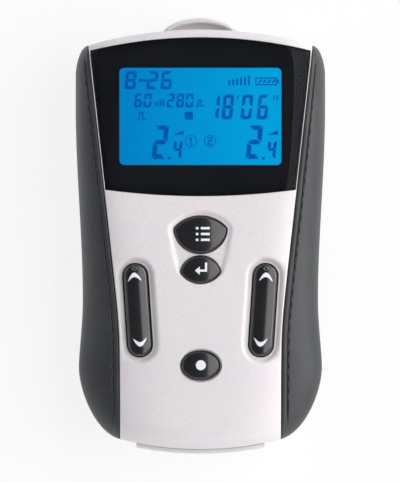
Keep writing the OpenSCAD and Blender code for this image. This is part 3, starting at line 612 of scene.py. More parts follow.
@dataclass(frozen=True)
class Finish:
    """A surface's finish. Its material is made once and shared by the pieces that have it.

    Sizes of patterns are real millimetres: a texture scale is 1000 / mm, because coordinates are in metres.
    """

    name: str
    colour: str
    second: str
    roughness: float
    rough_spread: float = 0.06
    metallic: float = 0.0
    ior: float = 1.5
    coat: float = 0.0
    coat_roughness: float = 0.1
    grain_mm: float = 0.3
    grain_bump: float = 0.02
    patch_mm: float = 12.0
    stretch: tuple = (1.0, 1.0, 1.0)
    sheen: float = 0.0

    def material(self) -> bpy.types.Material:
        """The finish's material, made on its first use."""
        found = bpy.data.materials.get(self.name)
        if found:
            return found
        material = bpy.data.materials.new(self.name)
        material.use_nodes = True
        tree = material.node_tree
        tree.nodes.clear()
        self.build(tree)
        return material

    def grain(self, tree: bpy.types.NodeTree, mm: float, detail: float = 3.0) -> bpy.types.NodeSocket:
        """Noise over the piece's own coordinates with features about mm across."""
        coords = add_node(tree, "ShaderNodeTexCoord").outputs["Object"]
        mapping = add_node(tree, "ShaderNodeMapping", Vector=coords, Scale=self.stretch)
        return add_node(tree, "ShaderNodeTexNoise", Vector=mapping.outputs["Vector"],
                        Scale=1000.0 / mm, Detail=detail, Roughness=0.6).outputs["Fac"]

    def patches(self, tree: bpy.types.NodeTree, edge: float = 0.3) -> bpy.types.NodeSocket:
        """The two colours, drifting in large patches. The mix runs over the noise from edge to 1 - edge."""
        stops = [(edge, linear(self.colour)), (1 - edge, linear(self.second))]
        return ramp(tree, self.grain(tree, self.patch_mm), stops)

    def surface(self, tree: bpy.types.NodeTree, colour: bpy.types.NodeSocket,
                fine: bpy.types.NodeSocket) -> None:
        """The shader with the finish's own values, fine noise moving its roughness and its height."""
        rough = add_node(tree, "ShaderNodeMapRange", Value=fine, To_Min=self.roughness - self.rough_spread,
                         To_Max=self.roughness + self.rough_spread)
        bump = add_node(tree, "ShaderNodeBump", Strength=1.0, Distance=self.grain_bump * MM, Height=fine)
        shader = add_node(tree, "ShaderNodeBsdfPrincipled", Base_Color=colour, Metallic=self.metallic,
                          Roughness=rough.outputs["Result"], IOR=self.ior, Coat_Weight=self.coat,
                          Coat_Roughness=self.coat_roughness, Sheen_Weight=self.sheen,
                          Normal=bump.outputs["Normal"])
        add_node(tree, "ShaderNodeOutputMaterial", Surface=shader.outputs["BSDF"])

    def build(self, tree: bpy.types.NodeTree) -> None:
        """Moulded or painted surface with a fine grain."""
        self.surface(tree, self.patches(tree, 0.35), self.grain(tree, self.grain_mm, 5.0))


@dataclass(frozen=True)
class PearlPaint(Finish):
    """Pearl-silver paint over moulded ABS: pale and satin, with a fine flake that shows as faint speckle."""

    flake_mm: float = 0.35

    def build(self, tree: bpy.types.NodeTree) -> None:
        """Patches and a flake of slightly darker cells give the colour, and the flake a little height."""
        fine = self.grain(tree, self.flake_mm, 2.0)
        speck = ramp(tree, fine, [(0.32, linear("#EAE7EA")), (0.62, linear("#FFFFFF"))])
        colour = add_node(tree, "ShaderNodeMix", {"data_type": "RGBA", "blend_type": "MULTIPLY"}, in0=0.5,
                          in6=self.patches(tree), in7=speck)
        self.surface(tree, colour.outputs[2], fine)


@dataclass(frozen=True)
class ClearAcrylic(Finish):
    """Clear moulded acrylic: light goes through, and its polished face mirrors at grazing angles."""

    def build(self, tree: bpy.types.NodeTree) -> None:
        """A mix of see-through and gloss by Fresnel, the gloss on the outer side of a face alone."""
        clear = add_node(tree, "ShaderNodeBsdfTransparent", Color=linear(self.colour))
        gloss = add_node(tree, "ShaderNodeBsdfGlossy", Roughness=self.roughness, Color=linear("#FFFFFF"))
        fresnel = add_node(tree, "ShaderNodeFresnel", IOR=self.ior)
        side = add_node(tree, "ShaderNodeNewGeometry")
        front = add_node(tree, "ShaderNodeMath", {"operation": "SUBTRACT"}, in0=1.0,
                         in1=side.outputs["Backfacing"])
        share = add_node(tree, "ShaderNodeMath", {"operation": "MULTIPLY"}, in0=fresnel.outputs["Fac"],
                         in1=front.outputs["Value"])
        mix = add_node(tree, "ShaderNodeMixShader", in0=share.outputs["Value"],
                       in1=clear.outputs["BSDF"], in2=gloss.outputs["BSDF"])
        add_node(tree, "ShaderNodeOutputMaterial", Surface=mix.outputs["Shader"])


@dataclass(frozen=True)
class LitDisplay(Finish):
    """Blue backlit display glass: it glows by itself, a little brighter towards the lamp at its right end."""

    left_mm: float = -22.0
    right_mm: float = 22.0
    glow: float = 0.8

    def build(self, tree: bpy.types.NodeTree) -> None:
        """The colour runs over the piece's own X, and shows half as light, half as paint."""
        coords = add_node(tree, "ShaderNodeTexCoord")
        split = add_node(tree, "ShaderNodeSeparateXYZ", Vector=coords.outputs["Object"])
        cloud = self.grain(tree, self.patch_mm)
        place = add_node(tree, "ShaderNodeMapRange", Value=split.outputs["X"],
                         From_Min=self.left_mm * MM, From_Max=self.right_mm * MM)
        mixed = add_node(tree, "ShaderNodeMath", {"operation": "MULTIPLY_ADD"}, in0=cloud, in1=0.10,
                         in2=place.outputs["Result"])
        colour = ramp(tree, mixed.outputs["Value"],
                      [(0.05, linear(self.colour)), (1.0, linear(self.second)),
                       (0.35, linear("#0096DA"))])
        shader = add_node(tree, "ShaderNodeBsdfPrincipled", Base_Color=linear("#002C48"),
                          Roughness=self.roughness, IOR=self.ior, Emission_Color=colour,
                          Emission_Strength=self.glow)
        add_node(tree, "ShaderNodeOutputMaterial", Surface=shader.outputs["BSDF"])


@dataclass(frozen=True)
class Brushed(Finish):
    """Metal with drawn or brushed lines, stretched along one axis."""

    metallic: float = 1.0

    def build(self, tree: bpy.types.NodeTree) -> None:
        """Stretched noise moves roughness and height, and the colour is the metal's own."""
        self.surface(tree, self.patches(tree), self.grain(tree, self.grain_mm, 4.0))


# Pearl-silver painted ABS: almost white where lit, lavender in its shades.
SHELL_PAINT = PearlPaint("pearl_paint", "#ECE7E5", "#EAE5E6", 0.48, 0.05, metallic=0.06, coat=0.06,
                         coat_roughness=0.25, grain_mm=0.3, grain_bump=0.004, patch_mm=30.0)
# Soft-touch elastomer over the flanks: matt, with a fine leather-like grain.
GRIP_RUBBER = Finish("soft_touch_rubber", "#2D2E30", "#343537", 0.50, 0.08, ior=1.5, grain_mm=0.3,
                     grain_bump=0.055, patch_mm=14.0)
# Clear acrylic, hard-coated against glare, so that it mirrors far less than bare plastic.
WINDOW_ACRYLIC = ClearAcrylic("clear_acrylic", "#FDFEFF", "#FFFFFF", 0.03, ior=1.2)
# Ink printed on the back of the pane: bonded to it, so it has no gloss of its own.
WINDOW_PRINT = Finish("black_window_print", "#17181A", "#1B1C1F", 0.8, 0.05, ior=1.05, grain_mm=0.5,
                      grain_bump=0.0, patch_mm=9.0)
DISPLAY_GLASS = LitDisplay("lit_display", "#0088D0", "#00AEEC", 0.6, ior=1.05, patch_mm=16.0)
DISPLAY_MARKS = Finish("display_segments", "#0055A4", "#0060B0", 0.6, 0.04, ior=1.05, grain_mm=0.4,
                       grain_bump=0.0)
# Gloss black keys: moulded and lacquered, with soft broad highlights.
KEY_GLOSS = Finish("gloss_black_key", "#1B1C1E", "#202123", 0.22, 0.03, ior=1.5, coat=0.5,
                   coat_roughness=0.08, grain_mm=0.5, grain_bump=0.003, patch_mm=6.0)
KEY_PRINT = Finish("white_key_print", "#F4F6F8", "#EEF1F4", 0.42, 0.05, grain_mm=0.25, grain_bump=0.003,
                   patch_mm=3.0)
# Grey ring painted on each rocker: a painted highlight, in place of the gloss that its raised pip would catch.
PIP_HIGHLIGHT_PAINT = Finish("grey_key_pip", "#77797B", "#6D6F71", 0.35, 0.04, grain_mm=0.25, grain_bump=0.002,
                   patch_mm=2.0)
PALE_PLASTIC = Finish("natural_abs", "#DAD9D2", "#D2D1CA", 0.45, 0.06, grain_mm=0.4, grain_bump=0.01,
                      patch_mm=8.0)
LIGHT_GUIDE = Finish("milky_acrylic", "#E2EEF6", "#D6E6F0", 0.25, 0.03, ior=1.49, grain_mm=0.5,
                     grain_bump=0.004, patch_mm=6.0)
ELASTOMER = Finish("striped_elastomer", "#4A4668", "#302E4C", 0.7, 0.05, grain_mm=0.4, grain_bump=0.02,
                   patch_mm=0.8, stretch=(1.0, 0.05, 0.05))
SOLDER_MASK = Finish("green_solder_mask", "#0B4A27", "#0F5A30", 0.3, 0.08, coat=0.3, grain_mm=0.6,
                     grain_bump=0.01, patch_mm=2.5)
CHIP_EPOXY = Finish("moulded_epoxy", "#1A1A1B", "#232324", 0.6, 0.05, grain_mm=0.2, grain_bump=0.012,
                    patch_mm=3.0)
CAN_SLEEVE = Finish("shrink_sleeve", "#24306A", "#2C3A7A", 0.3, 0.04, grain_mm=0.5, grain_bump=0.005,
                    patch_mm=2.0)
COIL_TAPE = Finish("winding_tape", "#C79A2E", "#B98A22", 0.35, 0.05, grain_mm=0.35, grain_bump=0.02,
                   patch_mm=2.0, stretch=(0.2, 0.2, 2.0))
SOCKET_PLASTIC = Finish("black_socket_abs", "#1D1D1F", "#252527", 0.4, 0.05, grain_mm=0.3, grain_bump=0.01,
                        patch_mm=3.0)
SILICONE = Finish("grey_silicone", "#5A5C60", "#63656A", 0.62, 0.05, grain_mm=0.3, grain_bump=0.01,
                  patch_mm=5.0, sheen=0.1)
CELL_SLEEVE = Finish("cell_sleeve", "#7A4A1C", "#8C5A26", 0.28, 0.05, coat=0.4, grain_mm=0.5,
                     grain_bump=0.003, patch_mm=10.0)
NICKEL = Brushed("nickel_plate", "#C4C2BC", "#B9B7B2", 0.24, 0.06, grain_mm=0.25, grain_bump=0.004,
                 patch_mm=3.0, stretch=(1.0, 0.1, 1.0))
ZINC = Brushed("zinc_plate", "#B4B7BC", "#A7ABB2", 0.32, 0.08, grain_mm=0.3, grain_bump=0.006, patch_mm=2.0)


# ---------------------------------------------------------------- the unit's form


@dataclass(frozen=True)
class HousingForm:
    """The lofted form of the housing, the same as the construction's. Sizes in mm.

    A section at station s is a superellipse: x = w u, and its height over the parting line is
    rise * sqrt(1 - |u|^p) in front and fall * sqrt(1 - u^4) behind. Stations bow, y = s + bow(s) x^2,
    so that both ends follow their arcs.
    """

    length: float = 113.4
    shoulder: float = 33.4
    waist: float = 31.5
    hip: float = 32.6
    front: float = 27.2
    part: float = 14.0
    recess: float = 8.5
    bulge_y: float = 9.0
    foot_drop: float = 2.6
    top_drop: float = 0.8
    top_arc: float = 108.0
    foot_arc: float = 88.0
    top_round: float = 3.0
    side_round: tuple = (8.0, 19.0, 11.0)   # at the top its length; at the foot its length and depth
    waist_y: float = -15.5
    top_run: float = 51.5                   # from the waist to the full shoulder
    hip_run: float = 24.5                   # and to the full hip
    bulge_run: float = 6.0
    bulge_fall: float = 1.9                 # how far the bulge's form reaches past the table that cuts it
    top_fade: tuple = (30.0, 27.0)          # the front falls to the top from this station, over this run
    foot_fade: tuple = (-8.0, 46.0)         # and to the foot
    foot_front: tuple = (6.0, 5.0)          # the foot's rounding in front: length and depth
    foot_back: tuple = (7.0, 6.0)           # and behind
    powers: tuple = (3.8, 12.0)             # the front's power at the foot and at the top
    power_fade: tuple = (-35.0, 80.0)
    bow_from: tuple = (-10.0, 28.0)         # stations bow beyond these two
    panel_foot: float = 21.45
    panel_flare: float = 0.112
    panel_turn: tuple = (-23.0, 6.0)        # where the panel's edge turns outwards, and how softly
    back_panel: float = 24.5
    back_flare: tuple = (5.0, 7.0, 6.5)     # how far out, from where under the top, over what run
    grip_gap: float = 0.32
    lip: float = 1.1

    @property
    def top(self) -> float:
        """Y of the top end."""
        return self.length / 2

    @property
    def foot(self) -> float:
        """Y of the shells' foot end, inside the door's lip."""
        return -self.length / 2 + self.lip + 0.2

    def half_width(self, s: Array) -> Array:
        """Half width at a station: smooth steps from waist to shoulder and hip, less the rounded ends."""
        up = lerp(self.waist, self.shoulder, smooth((s - self.waist_y) / self.top_run))
        down = lerp(self.waist, self.hip, smooth((self.waist_y - s) / self.hip_run))
        top_length, foot_length, foot_depth = self.side_round
        return (np.where(s > self.waist_y, up, down) - rounding(self.top - s, top_length, self.top_round)
                - rounding(s - self.foot, foot_length, foot_depth))

    def rise(self, s: Array) -> Array:
        """Height of the front over the parting line at a station."""
        (top_from, top_run), (foot_from, foot_run) = self.top_fade, self.foot_fade
        return (self.front - self.part - self.top_drop * smooth((s - top_from) / top_run)
                - self.foot_drop * smooth((foot_from - s) / foot_run)
                - rounding(self.top - s, self.top_round, self.top_round)
                - rounding(s - self.foot, *self.foot_front))

    def fall(self, s: Array) -> Array:
        """Depth of the back under the parting line at a station."""
        return (self.part - lerp(self.recess, -self.bulge_fall, smooth((self.bulge_y - s) / self.bulge_run))
                - rounding(self.top - s, self.top_round, self.top_round)
                - rounding(s - self.foot, *self.foot_back))

    def power(self, s: Array) -> Array:
        """The front superellipse's power: square at the top, rounder at the foot."""
        start, run = self.power_fade
        return lerp(*self.powers, smooth((s - start) / run))

    def bow(self, s: Array) -> Array:
        """How a station bows with x^2."""
        foot_from, top_from = self.bow_from
        up = -smooth((s - top_from) / (self.top - top_from)) / (2 * self.top_arc)
        down = smooth((foot_from - s) / (foot_from - self.foot)) / (2 * self.foot_arc)
        return np.where(s > 0, up, down)

    def station(self, x: Array, y: Array) -> Array:
        """The station through a point: four rounds of s = y - bow(s) x^2."""
        s = y
        for _ in range(4):
            s = y - self.bow(s) * x * x
        return s

    def front_height(self, x: Array, s: Array) -> Array:
        """Height of the front face at x on station s."""
        u = np.clip(np.abs(x) / self.half_width(s), 0, 1)
        return self.part + self.rise(s) * np.sqrt(np.maximum(0, 1 - u ** self.power(s)))

    def back_height(self, x: Array, s: Array) -> Array:
        """Height of the back face at x on station s, cut flat by the table."""
        u = np.clip(np.abs(x) / self.half_width(s), 0, 1)
        return np.maximum(0.0, self.part - self.fall(s) * np.sqrt(np.maximum(0, 1 - u ** 4)))

    def front_z(self, x: Array, y: Array) -> Array:
        """Height of the front face over a point of the plan."""
        return self.front_height(x, self.station(x, y))

    def panel_half(self, y: Array) -> Array:
        """Half width of the pale front panel: a hyperbola between an upright and a flared line."""
        turn_y, soft = self.panel_turn
        t = y - turn_y
        return self.panel_foot + self.panel_flare * (t + np.sqrt(t * t + soft * soft)) / 2

    def panel_at(self, s: Array) -> Array:
        """Half width of the front panel where its edge meets the stations, by repeated rounds."""
        x = self.panel_half(s)
        for _ in range(6):
            x = self.panel_half(s + self.bow(s) * x * x)
        return x

    def back_half(self, s: Array) -> Array:
        """Half width of the pale back panel: flared to the top, drawn in where the foot narrows."""
        out, start, run = self.back_flare
        flare = out * smooth((s - self.top + start) / run)
        return np.minimum(self.back_panel + flare, self.half_width(s) - 0.004)

    def held_in(self, points: Array, depth: float) -> tuple[Array, Array, Array]:
        """x, station and y of points, moved along the unit to be at least depth inside both ends."""
        x = points[:, 0]
        s = np.clip(self.station(x, points[:, 1]), self.foot + depth, self.top - depth)
        return x, s, s + self.bow(s) * x * x

    def lifted(self, plan: Array, back: bool = False,
               drop: Optional[Callable[[Array], Array]] = None) -> Array:
        """Points of (x, station) set on the front or back face.

        Args:
            plan: rows of x and station.
            back: the back face instead of the front.
            drop: how far the face lies lower at plan points (x, y), in mm.

        Returns:
            rows of x, y, z.
        """
        x, s = plan.T
        y = s + self.bow(s) * x * x
        z = self.back_height(x, s) if back else self.front_height(x, s)
        if drop is not None:
            z = z - drop(np.stack([x, y], 1))
        return np.stack([x, y, z], 1)


FORM = HousingForm()


def to_stations(loop: Array) -> Array:
    """A plan outline (x, y) as (x, station)."""
    return np.stack([loop[:, 0], FORM.station(loop[:, 0], loop[:, 1])], 1)


def end_spaced(step: float, foot_end: float, top_end: float = 3.0) -> Array:
    """Stations from foot to top, close together where the ends round off.

    Cosine spacing over foot_end and top_end mm at the ends, even steps between.
    """
    a = polar(15, 0, math.pi / 2, closed=False)
    first = FORM.foot + foot_end * (1 - np.cos(a))
    last = FORM.top - top_end * (1 - np.cos(a[::-1]))
    middle = np.arange(FORM.foot + foot_end + step, FORM.top - top_end - 0.3 * step, step)
    return np.concatenate([first, middle, last])


def at_end(points: Array, plan: Array, s: float) -> Array:
    """The points whose plan place is on station s, from the least x to the greatest."""
    at = np.abs(plan[:, 1] - s) < 1e-3
    return points[at][np.argsort(plan[at, 0])]


def grid_normals(points: Array) -> Array:
    """Unit normals over a grid of points, from the differences along its columns and rows."""
    normal = np.cross(np.gradient(points, axis=1), np.gradient(points, axis=0))
    return normal / np.maximum(1e-9, np.linalg.norm(normal, axis=2))[..., None]


def lemon(hw: float, up: float, down: float, corner: float, count: int = 96) -> Array:
    """Lemon outline: two arcs that meet on the X axis, its corners rounded.

    An arc over the half width hw with sagitta h has radius (hw^2 + h^2) / 2h. The corners are rounded by
    drawing the outline in by the corner's radius and out again along a circle.
    """
    r1 = (hw * hw + up * up) / (2 * up)
    r2 = (hw * hw + down * down) / (2 * down)
    c1, c2 = up - r1, r2 - down
    a, b = r1 - corner, r2 - corner
    # where the drawn-in arcs cross
    y = (a * a - b * b + c2 * c2 - c1 * c1) / (2 * (c2 - c1))
    x = math.sqrt(max(0.0, a * a - (y - c1) ** 2))
    top_half = math.atan2(x, y - c1)
    low_half = math.atan2(x, c2 - y)
    t = np.linspace(top_half, -top_half, count // 2)
    top = np.stack([r1 * np.sin(t), c1 + r1 * np.cos(t)], 1)
    t = np.linspace(-low_half, low_half, count // 2)
    low = np.stack([r2 * np.sin(t), c2 - r2 * np.cos(t)], 1)
    t = np.linspace(math.pi / 2 + top_half, math.pi * 1.5 - low_half, count // 8)[1:-1]
    left = np.stack([-x + corner * np.cos(t), y + corner * np.sin(t)], 1)
    right = np.stack([-left[::-1, 0], left[::-1, 1]], 1)
    return anticlockwise(np.concatenate([top, left, low, right]))


def oval(hw: float, hh: float, count: int = 72) -> Array:
    """Ellipse outline."""
    a = polar(count)
    return np.stack([hw * np.cos(a), hh * np.sin(a)], 1)


def pill(width: float, length: float, count: int = 40) -> Array:
    """Slot outline along Y: two half circles and two straight sides."""
    a = polar(count // 2, 0, math.pi, closed=False)
    straight = (length - width) / 2
    r = width / 2
    top = np.stack([r * np.cos(a), straight + r * np.sin(a)], 1)
    return resample(np.concatenate([top, -top]), 0.6)


def turned(loop: Array, degrees: float, at: tuple[float, float]) -> Array:
    """A plan outline turned about its own middle and moved to a place."""
    c, s = math.cos(math.radians(degrees)), math.sin(math.radians(degrees))
    return loop @ np.array([[c, s], [-s, c]]) + at


# ---------------------------------------------------------------- camera and image points


@dataclass
class PictureCamera:
    """The picture's camera: straight over the front face, far off, so that little perspective shows.

    Its place comes from the image points: mm per pixel at the face's height, and the pixel over the unit's
    middle.
    """

    lens: float = 800.0
    sensor: float = 36.0
    mm_per_px: float = 1.0
    face_z: float = 20.0
    camera: Optional[bpy.types.Object] = None

    @property
    def depth_px(self) -> float:
        """The distance to the picture's plane, in its own pixels."""
        return LONG_SIDE_PX * self.lens / self.sensor

    def build(self) -> None:
        """Makes the camera. Its height is frame height * lens / sensor over the face."""
        ends = ("unit_left", "unit_right", "silver_top_edge", "door_lip_bottom")
        left, right, top, foot = (IMAGE_POINTS[name] for name in ends)
        self.mm_per_px = 2 * FORM.shoulder / (right[2] - left[2])
        x = (WIDTH_PX - left[2] - right[2]) / 2 * self.mm_per_px
        y = (top[3] + foot[3] - HEIGHT_PX) / 2 * self.mm_per_px + SHIFT_Y
        data = bpy.data.cameras.new("camera")
        data.lens, data.sensor_width, data.sensor_fit = self.lens, self.sensor, "AUTO"
        data.clip_start, data.clip_end = 0.05, 20.0
        self.camera = bpy.data.objects.new("camera", data)
        bpy.context.scene.collection.objects.link(self.camera)
        distance = LONG_SIDE_PX * self.mm_per_px * self.lens / self.sensor
        aim = Vector((x, y, self.face_z)) * MM
        self.camera.matrix_world = Matrix.Translation(aim) @ Matrix.Translation((0, 0, distance * MM))
        bpy.context.scene.camera = self.camera
        bpy.context.view_layer.update()

    def ray(self, x: float, y: float) -> tuple[Vector, Vector]:
        """The ray through a point of the picture, as origin and unit direction in the row frame."""
        local = Vector((x - WIDTH_PX / 2, HEIGHT_PX / 2 - y, -self.depth_px))
        world = self.camera.matrix_world
        return world.translation.copy(), (world.to_3x3() @ local).normalized()

    def hit(self, x: float, y: float, tree: BVHTree) -> tuple[Vector, Vector]:
        """Where the ray through a point of the picture meets a surface, with the normal there.

        A miss takes the place of the surface that is nearest to the ray.

        Args:
            x: pixels from the left.
            y: pixels from the top.
            tree: the carrier, as finished and placed.

        Returns:
            the place in mm in the unit's own frame, and the unit normal.
        """
        origin, direction = self.ray(x, y)
        place, normal, _, _ = tree.ray_cast(origin, direction)
        if place is None:
            reach = (Vector((0, 0, self.face_z * MM)) - origin).dot(direction)
            place, normal, _, _ = tree.find_nearest(origin + direction * reach)
        return place / MM - Vector((0, SHIFT_Y, 0)), normal

    def hits(self, pixels: Array, tree: BVHTree) -> tuple[Array, Array]:
        """`hit` for rows of pixels."""
        found = [self.hit(x, y, tree) for x, y in pixels.tolist()]
        return np.array([tuple(p) for p, _ in found]), np.array([tuple(n) for _, n in found])

    def to_pixels(self, points: Array) -> Array:
        """Where points in mm of the unit's own frame show in the picture."""
        world = np.array(self.camera.matrix_world.inverted())
        row = np.hstack([to_row(points), np.ones((len(points), 1))])
        local = row @ world.T
        scale = self.depth_px / -local[:, 2]
        return np.stack([local[:, 0] * scale + WIDTH_PX / 2, HEIGHT_PX / 2 - local[:, 1] * scale], 1)


CAMERA = PictureCamera()


class Side(Enum):
    """What of a piece an image point marks."""

    LEFT = "left"
    RIGHT = "right"
    TOP = "top"
    BOTTOM = "bottom"
    MIDDLE = "middle"


# Places in the photograph's 400 x 482 frame: the pieces that show it, what of them, x and y.
IMAGE_POINTS: dict[str, tuple[Sequence[str], Side, float, float]] = {
    "unit_left": (("left_grip_skin",), Side.LEFT, 75.4, 120.0),
    "unit_right": (("right_grip_skin",), Side.RIGHT, 325.4, 120.0),
    "clip_tab_top": (("clip_tab_rim",), Side.TOP, 201.0, 17.0),
    "door_lip_bottom": (("sliding_door",), Side.BOTTOM, 200.4, 454.4),
    "silver_top_edge": (("front_panel",), Side.TOP, 200.4, 29.6),
    "window_top": (("window_pane",), Side.TOP, 200.4, 37.5),
    "window_bottom": (("window_pane",), Side.BOTTOM, 200.4, 196.4),
    "display_left": (("display_view",), Side.LEFT, 119.8, 116.4),
    "display_right": (("display_view",), Side.RIGHT, 281.8, 116.4),
    "upper_key": (("upper_key_cap",), Side.MIDDLE, 200.8, 234.8),
    "middle_key": (("middle_key_cap",), Side.MIDDLE, 200.6, 269.5),
    "lower_key": (("lower_key_cap",), Side.MIDDLE, 200.7, 365.1),
    "left_rocker": (("left_rocker_cap",), Side.MIDDLE, 137.8, 310.0),
    "right_rocker": (("right_rocker_cap",), Side.MIDDLE, 263.3, 310.0),
    "lower_key_dot": (("lower_key_mark",), Side.MIDDLE, 200.8, 365.2),
    "display_middle": (("display_view",), Side.MIDDLE, 200.8, 116.45),
    "upper_key_mark": (("upper_key_mark",), Side.MIDDLE, 202.75, 234.0),
    "middle_key_mark": (("middle_key_mark",), Side.MIDDLE, 201.5, 268.0),
    "left_rocker_mark": (("left_rocker_mark",), Side.MIDDLE, 137.25, 309.6),
    "right_rocker_mark": (("right_rocker_mark",), Side.MIDDLE, 263.25, 309.6),
}


# ---------------------------------------------------------------- front face: openings, dish and moats


@dataclass
class FrontFace:
    """The openings of the front panel and what is pressed into it round them. Sizes in mm."""

    key_gap: float = 0.22
    rocker_gap: float = 0.32
    upper_y: float = 3.58
    middle_y: float = -8.0
    lower_y: float = -32.9
    rocker_x: float = 16.75
    rocker_y: float = -18.2
    rocker_w: float = 6.3
    rocker_len: float = 24.6
    lean: float = 3.8
    window_y0: float = 12.2
    window_hw1: float = 29.6
    window_arc_top: float = 124.0
    window_arc_foot: float = 190.0
    window_strip: float = 0.2
    dish_depth: float = 0.5
    dish_wall: float = 1.15
    seat_depth: float = 0.8
    moat_depth: float = 0.95
    moat_from: float = 0.55
    moat_to: float = 2.15
    lip_round: float = 0.22

    def __post_init__(self) -> None:
        """Works the outlines out once."""
        self.upper = lemon(7.1, 3.26, 6.6, 1.3) + (0, self.upper_y)
        self.middle = lemon(5.35, 4.25, 3.0, 1.0) + (0, self.middle_y)
        self.lower = oval(5.05, 3.75) + (0, self.lower_y)
        self.rockers = [turned(pill(self.rocker_w, self.rocker_len), -side * self.lean,
                               (side * self.rocker_x, self.rocker_y)) for side in (-1, 1)]
        self.dish = self.dish_outline()
        self.window = self.window_outline(0.0)

    def openings(self) -> list[Array]:
        """The holes for the keys and rockers, each the piece's outline moved out by the gap."""
        keys = [loop + outward(loop) * self.key_gap for loop in (self.upper, self.middle, self.lower)]
        return keys + [loop + outward(loop) * self.rocker_gap for loop in self.rockers]

    def dish_outline(self) -> Array:
        """The dish shared by the upper two keys: the hull of both outlines, moved out."""
        points = np.concatenate([self.upper + outward(self.upper) * 1.75,
                                 self.middle + outward(self.middle) * (1.15, 0.5)])
        points = points[np.lexsort((points[:, 1], points[:, 0]))]
        hull: list[Array] = []
        for run in (points, points[::-1]):
            start = len(hull)
            for p in run:
                while len(hull) - start >= 2:
                    (ax, ay), (bx, by) = hull[-2], hull[-1]
                    if (bx - ax) * (p[1] - ay) - (by - ay) * (p[0] - ax) > 0:
                        break
                    hull.pop()
                hull.append(p)
            hull.pop()
        return chaikin(resample(np.array(hull), 2.0), 2)

    def window_outline(self, inset: float) -> Array:
        """Outline of the window: two arcs, and sides that run beside the panel's edges.

        Args:
            inset: how far it is drawn in.

        Returns:
            the outline, anticlockwise, with small round corners.
        """
        strip = self.window_strip + inset
        low_x = FORM.panel_half(np.array(self.window_y0 + 1.7)) - strip
        high_x = self.window_hw1 - strip
        t = np.linspace(-1, 1, 90)
        foot_y = self.window_y0 + inset + low_x * t * (low_x * t) / (2 * self.window_arc_foot)
        foot = np.stack([low_x * t, foot_y], 1)
        top_edge = FORM.top - 2.1 - inset
        head = np.stack([-high_x * t, top_edge - (high_x * t) ** 2 / (2 * self.window_arc_top)], 1)
        y = np.linspace(foot[-1, 1], head[0, 1], 62)[1:-1]
        side = np.minimum(FORM.panel_half(y) - strip, high_x)
        right = np.stack([side, y], 1)
        left = np.stack([-side[::-1], y[::-1]], 1)
        return np.concatenate([foot, right, head, left])

    def drop(self, plan: Array) -> Array:
        """How far the face lies under the plain form at plan points, in mm.

        Moats fall by smooth steps of the distance to a rocker's outline. The dish falls over its wall's
        width inside its outline and runs out towards the middle key's foot. Every opening has a small
        quarter-round lip. The panel's long edges are rounded too.

        Args:
            plan: rows of x and y.

        Returns:
            depths.
        """
        depth = np.zeros(len(plan))
        for rocker in self.rockers:
            d = near_distance(plan, rocker, signed_distance)
            wall = 1 - smooth((d - self.moat_from) / (self.moat_to - self.moat_from))
            depth = np.maximum(depth, self.moat_depth * wall)
        d = near_distance(plan, self.dish, signed_distance)
        fade = smooth((plan[:, 1] - (self.middle_y - 3.4)) / 3.2)
        depth = np.maximum(depth, self.dish_depth * smooth(-d / self.dish_wall) * fade)
        d = near_distance(plan, self.lower, signed_distance)
        depth = np.maximum(depth, self.seat_depth * (1 - smooth((d - 0.3) / 0.5)))
        d = np.min([near_distance(plan, loop, outline_distance, 1.0)
                    for loop in [*self.openings(), self.window]], axis=0)
        edge = FORM.panel_half(plan[:, 1]) - np.abs(plan[:, 0])
        return depth + rounding(d, self.lip_round, self.lip_round) + rounding(edge, 0.3, 0.3)


FACE = FrontFace()
SOCKET_X, SOCKET_HOLE = 18.0, 2.62


def end_columns(half: float, count: int = 57) -> Array:
    """The x of the columns across an end: even steps, and closer ones over the two socket holes."""
    hole = SOCKET_HOLE * np.cos(np.linspace(0, math.pi, 15))
    columns = [np.linspace(-half, half, count), SOCKET_X + hole, -SOCKET_X + hole]
    return np.unique(np.round(np.concatenate(columns), 4))


def end_face(edge: Array, s: float, level: float, holes: bool) -> Surface:
    """The upright face that closes an end, between a curved edge and the parting line.

    Columns run from the parting line, or from the half-round hole of a socket in it, to the edge; the
    whole is bowed by y = s + bow(s) x^2.

    Args:
        edge: points of the curved edge, from the least x to the greatest.
        s: the station of the end.
        level: height of the parting line.
        holes: whether the sockets come out here.

    Returns:
        the face, turned outwards.
    """
    x, z = edge[:, 0], edge[:, 2]
    up = 1.0 if z.mean() > level else -1.0
    rise = SOCKET_HOLE ** 2 - (np.abs(x) - SOCKET_X) ** 2
    start = level + up * np.sqrt(np.maximum(0, rise)) * holes
    start = np.where(up * (z - start) < 0, z, start)
    heights = lerp(start, z, np.linspace(0, 1, 9)[:, None])
    y = s + FORM.bow(np.array(s)) * x * x
    points = np.stack([*(np.broadcast_to(row, heights.shape) for row in (x, y)), heights], -1)
    return grid_surface(points, flip=(up > 0) == (s > 0))


